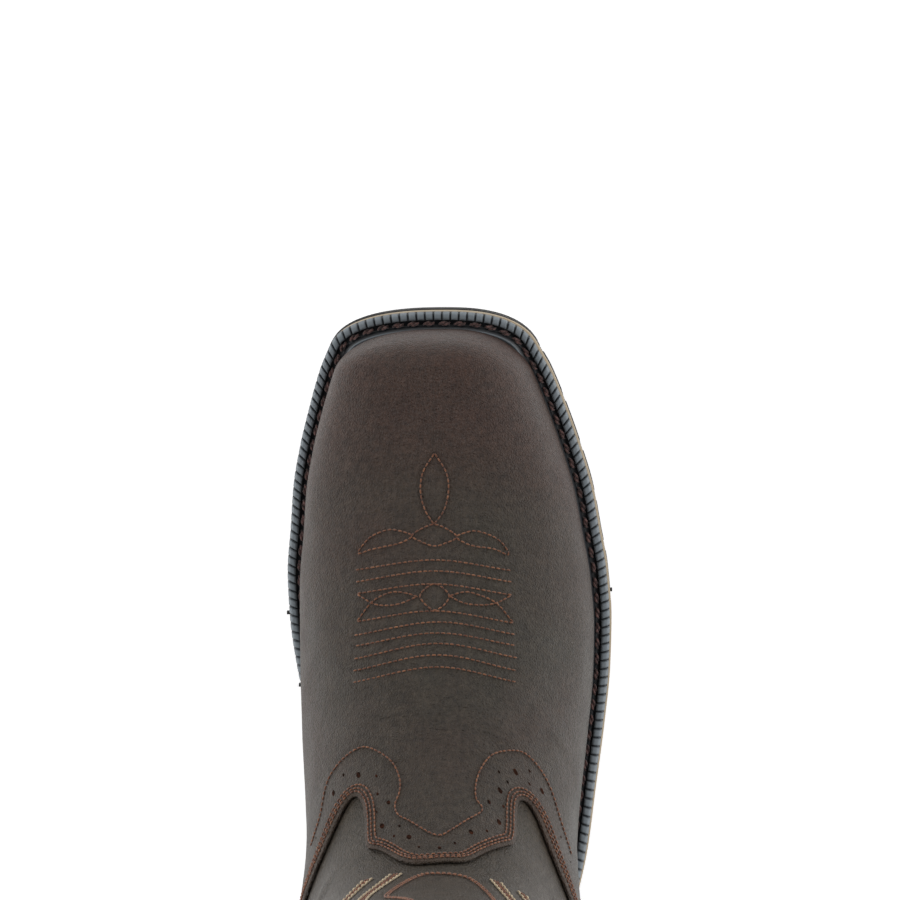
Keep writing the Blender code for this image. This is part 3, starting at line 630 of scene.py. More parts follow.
def add_camera():
    """Camera at the photograph's angle to the boot."""
    back, up, right = camera_axes()
    place = np.array(CAMERA_TARGET) + CAMERA_DISTANCE * back
    data = bpy.data.cameras.new("camera")
    data.sensor_width = SENSOR
    data.lens = CAMERA_DISTANCE / METRES_PER_PIXEL * SENSOR / FRAME_SIZE
    data.clip_end = 20.0
    camera = bpy.data.objects.new("camera", data)
    bpy.context.scene.collection.objects.link(camera)
    turn = Matrix([world_direction(axis) for axis in (right, up, back)]).transposed()
    camera.matrix_world = Matrix.Translation(Vector(placed(place))) @ turn.to_4x4()
    bpy.context.scene.camera = camera


def add_area_light(name, place, target, size, power):
    data = bpy.data.lights.new(name, "AREA")
    data.shape = "RECTANGLE"
    data.size, data.size_y = size
    data.energy = power
    light = bpy.data.objects.new(name, data)
    bpy.context.scene.collection.objects.link(light)
    light.location = place
    light.rotation_euler = (Vector(target) - Vector(place)).to_track_quat("-Z", "Y").to_euler()


def add_studio():
    """Plain pale floor, soft side lights and an even pale surround."""
    world = bpy.data.worlds.new("studio")
    world.use_nodes = True
    tree = world.node_tree
    background = tree.nodes["Background"]
    background.inputs["Color"].default_value = (1.0, 1.0, 1.0, 1.0)
    place = tree.nodes.new("ShaderNodeTexCoord")
    split = tree.nodes.new("ShaderNodeSeparateXYZ")
    fade = tree.nodes.new("ShaderNodeMapRange")
    fade.inputs["From Min"].default_value = 0.15
    fade.inputs["From Max"].default_value = 0.98
    fade.inputs["To Min"].default_value = HORIZON_LIGHT
    fade.inputs["To Max"].default_value = ZENITH_LIGHT
    tree.links.new(place.outputs["Generated"], split.inputs["Vector"])
    tree.links.new(split.outputs["Z"], fade.inputs["Value"])
    tree.links.new(fade.outputs["Result"], background.inputs["Strength"])
    bpy.context.scene.world = world
    bpy.context.scene.view_settings.view_transform = "Standard"
    middle = (0.0, -0.02, 0.08)
    add_area_light("light_outer", (-1.3, -0.15, 0.75), middle, (1.4, 0.8), SIDE_LIGHT)
    add_area_light("light_inner", (1.3, -0.15, 0.75), middle, (1.4, 0.8), SIDE_LIGHT)
    add_area_light("light_toe", (0.0, -1.6, 1.2), middle, (1.4, 0.7), SIDE_LIGHT * 0.4)
    mesh = bpy.data.meshes.new("floor")
    signs = ((-1, -1), (1, -1), (1, 1), (-1, 1))
    mesh.from_pydata([(FLOOR_EDGE * x, FLOOR_EDGE * y, 0) for x, y in signs], [], [(0, 1, 2, 3)])
    floor = bpy.data.objects.new("floor", mesh)
    bpy.context.scene.collection.objects.link(floor)
    made = new_material("floor_white")
    shader = made.node_tree.nodes["Principled BSDF"]
    shader.inputs["Base Color"].default_value = (0.93, 0.93, 0.93, 1.0)
    shader.inputs["Roughness"].default_value = 0.9
    shader.inputs["Specular IOR Level"].default_value = 0.1
    shader.inputs["Emission Color"].default_value = (1.0, 1.0, 1.0, 1.0)
    shader.inputs["Emission Strength"].default_value = FLOOR_GLOW
    mesh.materials.append(made)


# Materials
def new_material(name):
    made = bpy.data.materials.new(name)
    made.use_nodes = True
    return made


class Shade:
    """Small helper that adds nodes to a material and links them."""

    def __init__(self, name, roughness, specular=0.5, coat=0.0, coat_roughness=0.3, sheen=0.0):
        self.material = new_material(name)
        self.tree = self.material.node_tree
        self.shader = self.tree.nodes["Principled BSDF"]
        self.shader.inputs["Roughness"].default_value = roughness
        self.shader.inputs["Specular IOR Level"].default_value = specular
        self.shader.inputs["Coat Weight"].default_value = coat
        self.shader.inputs["Coat Roughness"].default_value = coat_roughness
        self.shader.inputs["Sheen Weight"].default_value = sheen
        self.place = self.node("ShaderNodeTexCoord").outputs["Object"]

    def node(self, kind):
        return self.tree.nodes.new(kind)

    def link(self, source, target):
        self.tree.links.new(source, target)

    def noise(self, scale, detail=3.0, roughness=0.5, stretch=None):
        made = self.node("ShaderNodeTexNoise")
        made.inputs["Scale"].default_value = scale
        made.inputs["Detail"].default_value = detail
        made.inputs["Roughness"].default_value = roughness
        self.link(self.stretched(stretch), made.inputs["Vector"])
        return made.outputs["Fac"]

    def cells(self, scale, stretch):
        made = self.node("ShaderNodeTexVoronoi")
        made.feature = "DISTANCE_TO_EDGE"
        made.inputs["Scale"].default_value = scale
        self.link(self.stretched(stretch), made.inputs["Vector"])
        return made.outputs["Distance"]

    def stretched(self, stretch):
        if stretch is None:
            return self.place
        mapping = self.node("ShaderNodeMapping")
        mapping.inputs["Scale"].default_value = stretch
        self.link(self.place, mapping.inputs["Vector"])
        return mapping.outputs["Vector"]

    def levels(self, value, low, high, out_low=0.0, out_high=1.0):
        made = self.node("ShaderNodeMapRange")
        made.inputs["From Min"].default_value = low
        made.inputs["From Max"].default_value = high
        made.inputs["To Min"].default_value = out_low
        made.inputs["To Max"].default_value = out_high
        self.link(value, made.inputs["Value"])
        return made.outputs["Result"]

    def blend(self, share, first, second, mode="MIX"):
        made = self.node("ShaderNodeMix")
        made.data_type = "RGBA"
        made.blend_type = mode
        for socket, value in ((made.inputs[0], share), (made.inputs[6], first), (made.inputs[7], second)):
            if isinstance(value, (int, float)):
                socket.default_value = value
            elif isinstance(value, tuple):
                socket.default_value = (*value, 1.0)
            else:
                self.link(value, socket)
        return made.outputs[2]

    def toned(self, colour, tone):
        """Colour multiplied by a grey tone."""
        grey = self.node("ShaderNodeCombineColor")
        for socket in grey.inputs[:3]:
            self.link(tone, socket)
        return self.blend(1.0, colour, grey.outputs["Color"], "MULTIPLY")

    def math(self, operation, first, second):
        made = self.node("ShaderNodeMath")
        made.operation = operation
        for socket, value in ((made.inputs[0], first), (made.inputs[1], second)):
            if isinstance(value, (int, float)):
                socket.default_value = value
            else:
                self.link(value, socket)
        return made.outputs["Value"]

    def attribute(self, name):
        made = self.node("ShaderNodeAttribute")
        made.attribute_name = name
        return made.outputs["Fac"]

    def bump(self, height, strength, distance, before=None):
        made = self.node("ShaderNodeBump")
        made.inputs["Strength"].default_value = strength
        made.inputs["Distance"].default_value = distance
        self.link(height, made.inputs["Height"])
        if before is not None:
            self.link(before, made.inputs["Normal"])
        self.link(made.outputs["Normal"], self.shader.inputs["Normal"])
        return made.outputs["Normal"]

    def colour(self, value):
        self.link(value, self.shader.inputs["Base Color"])

    def rough(self, value):
        self.link(value, self.shader.inputs["Roughness"])


def leather_shade(name, dark, red, tan, roughness=0.46, grain=1.0):
    """Oiled leather: clouded brown, redder where warm, pebble grain and a speckle of tone and painted glints,
    pull-up where rubbed, flex wrinkles.
    """
    shade = Shade(name, roughness, specular=0.30, coat=0.03, coat_roughness=0.34)
    clouds = shade.math("MULTIPLY", shade.levels(shade.noise(16.0, 3.0, 0.55), 0.36, 0.66), 0.55)
    uneven = shade.levels(shade.noise(30.0, 3.0), 0.3, 0.7, 0.72, 1.0)
    warm = shade.math("MULTIPLY", shade.attribute("warm"), uneven)
    base = shade.blend(shade.math("MAXIMUM", clouds, warm), dark, red)
    base = shade.toned(base, shade.levels(shade.noise(140.0, 4.0, 0.6), 0.30, 0.72, 0.86, 1.14))
    # Fine speckle, partly grain tone and partly painted highlight glints.
    base = shade.toned(base, shade.levels(shade.noise(520.0, 4.0, 0.7), 0.32, 0.70, GRAIN_DARK, GRAIN_LIGHT_AND_GLINT))
    patches = shade.levels(shade.noise(90.0, 4.0, 0.6), 0.3, 0.7, 0.05, 0.45)
    worn_and_highlit = shade.math("MULTIPLY", shade.attribute("wear_and_highlight"), patches)
    shade.colour(shade.blend(worn_and_highlit, base, tan))
    shade.rough(shade.levels(shade.noise(60.0, 4.0, 0.55), 0.3, 0.7, roughness - 0.05, roughness + 0.07))
    pebble = shade.cells(1000.0, (1.0, 0.8, 1.0))
    first = shade.bump(shade.levels(pebble, 0.0, 0.35), 0.70 * grain, 0.0005)
    second = shade.bump(shade.noise(420.0, 5.0, 0.65), 0.85 * grain, 0.0008, first)
    wrinkles = shade.noise(1.0, 4.0, 0.6, (110.0, 620.0, 420.0))
    flexed = shade.math("MULTIPLY", wrinkles, shade.attribute("flex"))
    third = shade.bump(flexed, 1.0, 0.0014, second)
    shade.bump(shade.noise(70.0, 3.0, 0.5), 0.12, 0.0012, third)
    return shade.material


def rubber_shade(name, base, tint, roughness, scale=700.0, strength=0.2, raised=None):
    """Moulded rubber: faint dusting of tint, a fine matt texture and a lighter colour where it is raised,
    which is painted highlight.
    """
    shade = Shade(name, roughness, specular=0.4)
    dust = shade.levels(shade.noise(45.0, 5.0, 0.65), 0.42, 0.75, 0.0, 0.7)
    base = shade.blend(dust, base, tint)
    if raised is not None:
        # Painted highlight: the lighter colour goes where the point values mark raised tops.
        base = shade.blend(shade.attribute("wear_and_highlight"), base, raised)
    shade.colour(base)
    shade.rough(shade.levels(shade.noise(120.0, 3.0), 0.3, 0.7, roughness - 0.08, roughness + 0.08))
    shade.bump(shade.noise(scale, 4.0, 0.6), strength, 0.0003)
    return shade.material


def hole_shade(name, base, light):
    """Dull inside of a small hole: dark painted shade with a touch of raw leather."""
    shade = Shade(name, 0.9, specular=0.05)
    shade.colour(shade.blend(shade.levels(shade.noise(700.0, 3.0), 0.40, 0.70), base, light))
    return shade.material


def thread_shade(name, base, light):
    """Twisted thread with lighter high spots, partly its own uneven tone and partly painted highlight."""
    shade = Shade(name, 0.62, specular=0.3, sheen=0.25)
    shade.colour(shade.blend(shade.levels(shade.noise(900.0, 3.0), 0.35, 0.7), base, light))
    shade.bump(shade.noise(2600.0, 2.0), 0.35, 0.0002)
    return shade.material


# Surface of the leather, held as a coarse grid of points and normals and corrected onto the exact surface
COARSE_ROWS = 121
COARSE_COLUMNS = 73
HEEL_ROW = 40


def padded_grid(grid):
    """The coarse grid with one more row and column on every side, in two parts that meet at the heel."""
    blocks = []
    for low, high in ((0, HEEL_ROW), (HEEL_ROW, COARSE_ROWS - 1)):
        block = grid[low : high + 1]
        block = np.concatenate([2 * block[:1] - block[1:2], block, 2 * block[-1:] - block[-2:-1]])
        before = 2 * block[:, :1] - block[:, 1:2]
        after = 2 * block[:, -1:] - block[:, -2:-1]
        if low:
            before, after = block[:, -2:-1], block[:, 1:2]
        blocks.append(np.concatenate([before, block, after], axis=1))
    return np.concatenate(blocks)


def coarse_surface():
    reach = np.linspace(0, 3, COARSE_ROWS)
    around = np.linspace(0, 1, COARSE_COLUMNS)
    point = leather(*np.meshgrid(reach, around, indexing="ij"))
    normal = np.stack(slope(boot_field, [point[..., k] for k in range(3)]), axis=-1)
    normal /= np.linalg.norm(normal, axis=-1, keepdims=True)
    return padded_grid(point), padded_grid(normal)


COARSE_POINT, COARSE_NORMAL = coarse_surface()


def cubic_weights(t):
    return (
        0.5 * (-t + 2 * t**2 - t**3),
        0.5 * (2 - 5 * t**2 + 3 * t**3),
        0.5 * (t + 4 * t**2 - 3 * t**3),
        0.5 * (t**3 - t**2),
    )


def surface(reach, around):
    """Points on the outer leather surface and their outward normals."""
    reach, around = np.broadcast_arrays(np.asarray(reach, float), np.asarray(around, float))
    row = np.clip(reach / 3 * (COARSE_ROWS - 1), 0, COARSE_ROWS - 1 - 1e-9)
    column = np.clip(around * (COARSE_COLUMNS - 1), 0, COARSE_COLUMNS - 1 - 1e-9)
    upper_block = reach > 1
    row = np.where(upper_block, row, np.minimum(row, HEEL_ROW - 1e-9))
    r, c = row.astype(int), column.astype(int)
    base = np.where(upper_block, r + 3, r)
    point, normal = 0.0, 0.0
    for i, row_weight in enumerate(cubic_weights(row - r)):
        for j, column_weight in enumerate(cubic_weights(column - c)):
            weight = (row_weight * column_weight)[..., None]
            point = point + weight * COARSE_POINT[base + i, c + j]
            normal = normal + weight * COARSE_NORMAL[base + i, c + j]
    normal /= np.linalg.norm(normal, axis=-1, keepdims=True)
    for _ in range(2):
        gap = boot_field(point[..., 0], point[..., 1], point[..., 2])
        point = point - np.clip(gap, -0.003, 0.003)[..., None] * normal
    on_foot = reach <= 1
    edge = on_foot & ((around <= 0) | (around >= 1) | (reach <= 0))
    normal[..., 2] = np.where(edge | (reach >= 3), 0.0, normal[..., 2])
    normal /= np.linalg.norm(normal, axis=-1, keepdims=True)
    point[..., 2] = np.where(on_foot, np.maximum(point[..., 2], feather_height(point[..., 0])), point[..., 2])
    return point, normal


def sink(point, normal, depth, reach):
    """Point moved under the surface, kept above the welt on the foot."""
    moved = point - np.asarray(depth)[..., None] * normal
    floor = feather_height(moved[..., 0])
    moved[..., 2] = np.where(reach <= 1, np.maximum(moved[..., 2], floor), moved[..., 2])
    return moved


# Mesh building
def face_outward(mesh):
    shape = bmesh.new()
    shape.from_mesh(mesh)
    bmesh.ops.recalc_face_normals(shape, faces=shape.faces)
    shape.to_mesh(mesh)
    shape.free()


def add_values(mesh, name, values):
    """One number for each point, which the materials read."""
    mesh.attributes.new(name, "FLOAT", "POINT").data.foreach_set("value", np.asarray(values, np.float32))


def add_mesh(name, points, faces, materials, replaced=(), inner_from=None, wear_and_highlight=None):
    """Piece from boot points that rides on the boot; faces from inner_from on take the second material."""
    mesh = bpy.data.meshes.new(name)
    points = placed(np.asarray(points, float).reshape(-1, 3))
    faces = [tuple(int(i) for i in face) for face in faces]
    mesh.from_pydata(points.tolist(), [], faces)
    for made in materials:
        mesh.materials.append(made)
    if inner_from is not None:
        index = np.zeros(len(faces), np.int32)
        index[inner_from:] = 1
        mesh.polygons.foreach_set("material_index", index)
    # Point values: edge wear on leather pieces, painted highlight on the welt's rib tops and lip.
    if wear_and_highlight is not None:
        add_values(mesh, "wear_and_highlight", wear_and_highlight)
    face_outward(mesh)
    mesh.polygons.foreach_set("use_smooth", np.full(len(mesh.polygons), True))
    piece = bpy.data.objects.new(name, mesh)
    bpy.context.scene.collection.objects.link(piece)
    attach(piece, "root")
    if replaced:
        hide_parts(*replaced)
    return piece


def band_faces(rows, columns, close_rows=False, close_columns=False):
    """Quads of a grid of points."""
    r = np.arange(rows if close_rows else rows - 1)[:, None]
    c = np.arange(columns if close_columns else columns - 1)[None, :]
    nr, nc = (r + 1) % rows, (c + 1) % columns
    corners = (r * columns + c, r * columns + nc, nr * columns + nc, nr * columns + c)
    return np.stack(np.broadcast_arrays(*corners), axis=-1).reshape(-1, 4).tolist()


def across_faces(base, count):
    """Faces that fill a ring from side to side."""
    faces = []
    for i in range(count // 2):
        corners = [base + i, base + i + 1, base + (count - i - 1) % count, base + (count - i) % count]
        corners = list(dict.fromkeys(corners))
        if len(corners) > 2:
            faces.append(corners)
    return faces


def signed_inside(points, outline):
    """Distance of 2-D points from a closed outline, above zero inside it."""
    corners = np.asarray(outline, float)
    flat = points.reshape(-1, 2)
    best = np.full(len(flat), 1.0)
    inside = np.zeros(len(flat), bool)
    for start, stop in zip(corners, np.roll(corners, -1, axis=0)):
        run = stop - start
        share = np.clip(((flat - start) @ run) / max(run @ run, 1e-18), 0, 1)
        best = np.minimum(best, np.linalg.norm(flat - start - share[:, None] * run, axis=1))
        crosses = (start[1] > flat[:, 1]) != (stop[1] > flat[:, 1])
        rise = run[1] if run[1] != 0 else 1.0
        cut = start[0] + (flat[:, 1] - start[1]) * run[0] / rise
        inside ^= crosses & (flat[:, 0] < cut)
    return np.where(inside, best, -best).reshape(points.shape[:-1])


def rounded(points, times=2):
    """Open line with its corners cut, its ends kept."""
    line = np.asarray(points, float)
    for _ in range(times):
        first = 0.75 * line[:-1] + 0.25 * line[1:]
        second = 0.25 * line[:-1] + 0.75 * line[1:]
        middle = np.stack([first, second], axis=1).reshape(-1, line.shape[1])
        line = np.concatenate([line[:1], middle[1:-1], line[-1:]])
    return line


def curve_through(points, per_span=10):
    """Smooth line through points."""
    keys = np.asarray(points, float)
    closed = np.allclose(keys[0], keys[-1])
    before = keys[-2] if closed else 2 * keys[0] - keys[1]
    after = keys[1] if closed else 2 * keys[-1] - keys[-2]
    keys = np.concatenate([[before], keys, [after]])
    share = np.linspace(0, 1, per_span, endpoint=False)[:, None]
    weights = cubic_weights(share)
    spans = [sum(w * keys[i + k] for k, w in enumerate(weights)) for i in range(len(keys) - 3)]
    return np.concatenate(spans + [keys[-2:-1]])


def on_slope(point):
    return np.stack([point[..., 1], (point[..., 0] - point[..., 2]) * math.sqrt(0.5)], axis=-1)


def from_side(point):
    return np.stack([point[..., 0], point[..., 2]], axis=-1)


VAMP_OUTLINE = rounded(np.column_stack([VAMP_LINE["across"], VAMP_LINE["ahead"]]) / 1000, 2)
VAMP_OUTLINE = np.concatenate([VAMP_OUTLINE, [[0.072, SOLE_LENGTH], [-0.072, SOLE_LENGTH]]])


def vamp_mask(point):
    seam = SOLE_LENGTH * SEAM_LINE + SEAT_GAP
    return np.minimum(signed_inside(on_slope(point), VAMP_OUTLINE), point[..., 0] - seam)


def counter_mask(point):
    keys = np.column_stack([SOLE_LENGTH * COUNTER_EDGE["along"], BOOT_HEIGHT * COUNTER_EDGE["up"]])
    edge = curve_through(keys, 6)
    return signed_inside(from_side(point), [(edge[0][0], -0.1), *edge, (edge[-1][0], -0.1)])


def seam_strip_mask(side):
    middle = SOLE_LENGTH * SEAM_ALONG
    half = SEAM_WIDTH / 2
    low = BOOT_HEIGHT * SEAM_FOOT
    top = BOOT_HEIGHT - BINDING_SHARE * (BOOT_HEIGHT - PIVOT_HEIGHT) - SEAM_TOP_GAP
    box = [(middle - half, low), (middle + half, low), (middle + half, top), (middle - half, top)]
    return lambda point: np.where(side * point[..., 1] > 0, signed_inside(from_side(point), box), -1.0)


def snapped(reach, around, value):
    """Grid with the vertices next to a zero crossing moved onto it."""
    best = np.full(value.shape, 0.5)
    new_reach, new_around, new_value = reach.copy(), around.copy(), value.copy()
    for axis in (0, 1):
        for step in (1, -1):
            here = [slice(None), slice(None)]
            there = [slice(None), slice(None)]
            here[axis] = slice(None, -1) if step == 1 else slice(1, None)
            there[axis] = slice(1, None) if step == 1 else slice(None, -1)
            here, there = tuple(here), tuple(there)
            a, b = value[here], value[there]
            share = np.where(a * b < 0, a / np.where(a == b, 1, a - b), 1.0)
            better = share <= best[here]
            best[here] = np.where(better, share, best[here])
            for old, new in ((reach, new_reach), (around, new_around)):
                new[here] = np.where(better, old[here] + share * (old[there] - old[here]), new[here])
            new_value[here] = np.where(better, 0.0, new_value[here])
    return new_reach, new_around, new_value


def kept_triangles(value, index, centre_value):
    """Triangles of the grid that lie where the mask isn't below zero."""
    rows, columns = value.shape
    r, c = np.meshgrid(np.arange(rows - 1), np.arange(columns - 1), indexing="ij")
    r, c = r.ravel(), c.ravel()
    corner = [(r, c), (r, c + 1), (r + 1, c + 1), (r + 1, c)]
    worth = [value[k] for k in corner]
    ids = [index[k] for k in corner]
    other = (worth[0] * worth[2] < 0) | ((c * 2 >= columns - 1) & ~(worth[1] * worth[3] < 0))
    triples = (((0, 1, 2), (0, 2, 3), ~other), ((0, 1, 3), (1, 2, 3), other))
    kept = []
    for first, second, chosen in triples:
        for triple in (first, second):
            worths = np.stack([worth[k] for k in triple], axis=-1)
            members = np.stack([ids[k] for k in triple], axis=-1)
            good = chosen & (worths >= 0).all(axis=1)
            flat = good & (worths == 0).all(axis=1)
            if flat.any():
                good[flat] = centre_value(members[flat]) > 0
            kept.append(members[good])
    kept = np.concatenate(kept)
    distinct = (kept[:, 0] != kept[:, 1]) & (kept[:, 1] != kept[:, 2]) & (kept[:, 0] != kept[:, 2])
    return kept[distinct]


def leather_piece(name, reach, around, mask, depth, thickness, materials, replaced, relief=None):
    """Closed leather piece over part of the surface: mask keeps it, relief raises its outer face."""
    grid_reach, grid_around = np.meshgrid(reach, around, indexing="ij")
    value = np.ones(grid_reach.shape)
    if mask is not None:
        value = mask(surface(grid_reach, grid_around)[0])
        value = np.where(np.abs(value) < 1e-9, 1e-9, value)
        grid_reach, grid_around, value = snapped(grid_reach, grid_around, value)
    point, normal = surface(grid_reach, grid_around)
    rows, columns = value.shape
    index = np.arange(rows * columns).reshape(rows, columns)
    closed = (reach >= 1) & (around[0] == 0) & (around[-1] == 1)
    index[closed, -1] = index[closed, 0]
    flat_point = point.reshape(-1, 3)
    centre_value = lambda members: mask(flat_point[members].mean(axis=1))
    triangles = kept_triangles(value, index, centre_value)
    rim_drop = EDGE_ROUND * np.clip(1 - value / EDGE_REACH, 0, 1) ** 2 if mask is not None else 0.0 * value
    raised = relief(point) if relief is not None else 0.0
    outer = sink(point, normal, depth + rim_drop - raised, grid_reach).reshape(-1, 3)
    inner = sink(point, normal, np.full(value.shape, depth + thickness), grid_reach).reshape(-1, 3)
    used = np.unique(triangles)
    renumber = np.full(rows * columns, -1)
    renumber[used] = np.arange(len(used))
    triangles = renumber[triangles]
    count = len(used)
    edges = np.concatenate([triangles[:, [0, 1]], triangles[:, [1, 2]], triangles[:, [2, 0]]])
    keys = np.sort(edges, axis=1)
    _, first, times = np.unique(keys[:, 0] * count + keys[:, 1], return_index=True, return_counts=True)
    rim = edges[first[times == 1]]
    rims = np.column_stack([rim[:, 1], rim[:, 0], rim[:, 0] + count, rim[:, 1] + count])
    faces = triangles.tolist() + rims.tolist() + (triangles[:, ::-1] + count).tolist()
    wear_and_highlight = np.exp(-value.reshape(-1)[used] / WEAR_REACH) if mask is not None else np.zeros(count)
    points = np.concatenate([outer[used], inner[used]])
    inner_from = len(triangles) + len(rims)
    worn_and_highlit = np.concatenate([wear_and_highlight, 0 * wear_and_highlight])
    piece = add_mesh(name, points, faces, materials, replaced, inner_from, worn_and_highlit)
    across, ahead = on_slope(points).T
    flex = np.exp(-(((ahead - FLEX_AHEAD) / FLEX_SPREAD) ** 2)) * np.exp(-((across / FLEX_ACROSS) ** 2))
    add_values(piece.data, "flex", flex)
    add_values(piece.data, "warm", np.clip((ahead - WARM_FROM) / WARM_REACH, 0, 1))
    return piece


def contour_lines(reach, around, mask, level):
    """Lines (points, normals) on the surface where a mask crosses a level."""
    grid_reach, grid_around = np.meshgrid(reach, around, indexing="ij")
    value = mask(surface(grid_reach, grid_around)[0]) - level
    places, links = {}, {}

    def crossing(a, b):
        key = (a, b) if a < b else (b, a)
        if key not in places:
            share = value[a] / (value[a] - value[b])
            places[key] = (
                grid_reach[a] + share * (grid_reach[b] - grid_reach[a]),
                grid_around[a] + share * (grid_around[b] - grid_around[a]),
            )
        return key

    sign = value > 0
    low, high = sign[:-1], sign[1:]
    mixed = (low[:, :-1] != high[:, 1:]) | (low[:, 1:] != high[:, :-1]) | (low[:, :-1] != high[:, :-1])
    for r, c in np.argwhere(mixed):
        loop = [(r, c), (r, c + 1), (r + 1, c + 1), (r + 1, c)]
        found = [crossing(a, b) for a, b in zip(loop, loop[1:] + loop[:1]) if sign[a] != sign[b]]
        for a, b in zip(found[::2], found[1::2]):
            links.setdefault(a, []).append(b)
            links.setdefault(b, []).append(a)
    lines = []
    while links:
        start = next((key for key, others in links.items() if len(others) == 1), next(iter(links)))
        chain = [start]
        while links.get(chain[-1]):
            here = chain[-1]
            after = links[here].pop()
            links[after].remove(here)
            chain.append(after)
            if not links[here]:
                del links[here]
        for key in chain:
            if key in links and not links[key]:
                del links[key]
        if len(chain) > 6:
            place = np.array([places[key] for key in chain])
            lines.append(surface(place[:, 0], place[:, 1]))
    return lines


def surface_tree():
    """Search tree of the leather surface with its points and normals."""
    reach, around = np.meshgrid(np.linspace(0, 3, 240), np.linspace(0, 1, 150), indexing="ij")
    point, normal = surface(reach, around)
    point, normal = point.reshape(-1, 3), normal.reshape(-1, 3)
    faces = band_faces(240, 150)
    return BVHTree.FromPolygons(point.tolist(), faces), point, normal, np.array(faces)


TREE, TREE_POINT, TREE_NORMAL, TREE_FACES = surface_tree()


def cast(origins, directions):
    """Points and normals where rays meet the leather; rays that miss are left out."""
    found, normals = [], []
    for origin, direction in zip(origins, directions):
        hit, _, face, _ = TREE.ray_cast(Vector(origin), Vector(direction).normalized())
        if hit is None:
            continue
        corners = TREE_FACES[face]
        weight = 1 / (np.sum((TREE_POINT[corners] - np.array(hit)) ** 2, axis=1) + 1e-9)
        normal = (TREE_NORMAL[corners] * weight[:, None]).sum(axis=0)
        found.append(np.array(hit))
        normals.append(normal / np.linalg.norm(normal))
    found, normals = np.array(found), np.array(normals)
    gap = boot_field(found[:, 0], found[:, 1], found[:, 2])
    return found - gap[:, None] * normals, normals


def cast_pixels(pixels):
    """Line on the leather seen at photograph pixels."""
    pixels = np.asarray(pixels, float)
    back, up, right = camera_axes()
    focal = CAMERA_DISTANCE / METRES_PER_PIXEL
    x = (pixels[:, :1] - FRAME_SIZE / 2) / focal
    y = (pixels[:, 1:] - FRAME_SIZE / 2) / focal
    directions = x * right - y * up - back
    origin = np.array(CAMERA_TARGET) + CAMERA_DISTANCE * back
    return cast(np.repeat(origin[None], len(pixels), axis=0), directions)


def cast_round(points, back_side=False):
    """Line on the shaft from points (round, up), round measured from the front or back middle."""
    points = np.asarray(points, float)
    turn = points[:, 0] / SHAFT_RADIUS + (math.pi if back_side else 0.0)
    away = np.column_stack([np.cos(turn), np.sin(turn), 0 * turn])
    origins = np.array([SHAFT_MIDDLE, 0.0, 0.0]) + 0.3 * away
    origins[:, 2] = points[:, 1]
    return cast(origins, -away)


def read_along(values, run, at):
    """Rows of values read at distances along a line whose points lie at run."""
    return np.stack([np.interp(at, run, values[:, k]) for k in range(3)], axis=-1)


def beads(name, lines, made, depth=0.0, pitch=STITCH_PITCH, radius=THREAD_RADIUS):
    """Joined row of thread stitches along lines of surface points and normals."""
    along = np.array([-1.0, -0.72, 0.0, 0.72, 1.0])
    girth = np.array([0.40, 0.88, 1.0, 0.88, 0.40])
    lift = np.array([-0.9, -0.15, 0.15, -0.15, -0.9])
    turn = np.linspace(0, 2 * math.pi, 6, endpoint=False)
    sides = band_faces(len(along), len(turn), close_columns=True)
    points, faces = [], []
    base = 0
    for point, normal in lines:
        run = np.concatenate([[0], np.cumsum(np.linalg.norm(np.diff(point, axis=0), axis=1))])
        if run[-1] < pitch:
            continue
        count = int(round(run[-1] / pitch))
        step = run[-1] / count
        at = (np.arange(count) + 0.5) * step
        centre = read_along(point, run, at)
        forward = read_along(point, run, at + step * 0.3) - read_along(point, run, at - step * 0.3)
        forward /= np.maximum(np.linalg.norm(forward, axis=1, keepdims=True), 1e-12)
        up = read_along(normal, run, at)
        up -= np.sum(up * forward, axis=1, keepdims=True) * forward
        up /= np.linalg.norm(up, axis=1, keepdims=True)
        side = np.cross(up, forward)
        centre = centre - (depth - radius * 0.35) * up
        for c, t, u, s in zip(centre, forward, up, side):
            ring_points = (
                c
                + (along * step * STITCH_FILL / 2)[:, None, None] * t
                + (lift * radius)[:, None, None] * u
                + (girth[:, None] * radius * np.cos(turn))[..., None] * s
                + (girth[:, None] * radius * np.sin(turn))[..., None] * u
            )
            points.append(ring_points.reshape(-1, 3))
            faces += [[base + i for i in quad] for quad in sides]
            faces.append([base + i for i in range(6)])
            faces.append([base + 24 + i for i in range(6)][::-1])
            base += 30
    return add_mesh(name, np.concatenate(points), faces, [made])


def offset_line(line, distance):
    """Line moved sideways by a distance."""
    line = np.asarray(line, float)
    run = np.gradient(line, axis=0)
    run /= np.maximum(np.linalg.norm(run, axis=1, keepdims=True), 1e-12)
    return line + distance * np.column_stack([-run[:, 1], run[:, 0]])


def nearness(lines, width):
    """Function that gives, for points, a share that falls off with distance from the lines."""
    everything = np.concatenate([point for point, _ in lines])
    tree = kdtree.KDTree(len(everything))
    for i, point in enumerate(everything):
        tree.insert(point, i)
    tree.balance()

    def share(points):
        flat = points.reshape(-1, 3)
        gaps = np.array([tree.find(p)[2] for p in flat.tolist()])
        return np.exp(-((gaps / width) ** 2)).reshape(points.shape[:-1])

    return share


# Stitch lines
def vamp_lines():
    pixels = [curve_through(line) for line in (*LEAF, *WINGS, *CROSSINGS, LOBE_LINE)]
    for row in zip(*(ARCS[key] for key in ("left", "left_y", "middle", "middle_y", "right", "right_y"))):
        pixels.append(curve_through([row[0:2], row[2:4], row[4:6]], 16))
    return [cast_pixels(line) for line in pixels]


def edge_lines(mask, low, high, rows, offsets):
    """Stitch rows along a mask's edge, each at its own distance in from it."""
    reach, around = np.linspace(low, high, rows), np.linspace(0, 1, 180)
    return [line for level in offsets for line in contour_lines(reach, around, mask, level)]


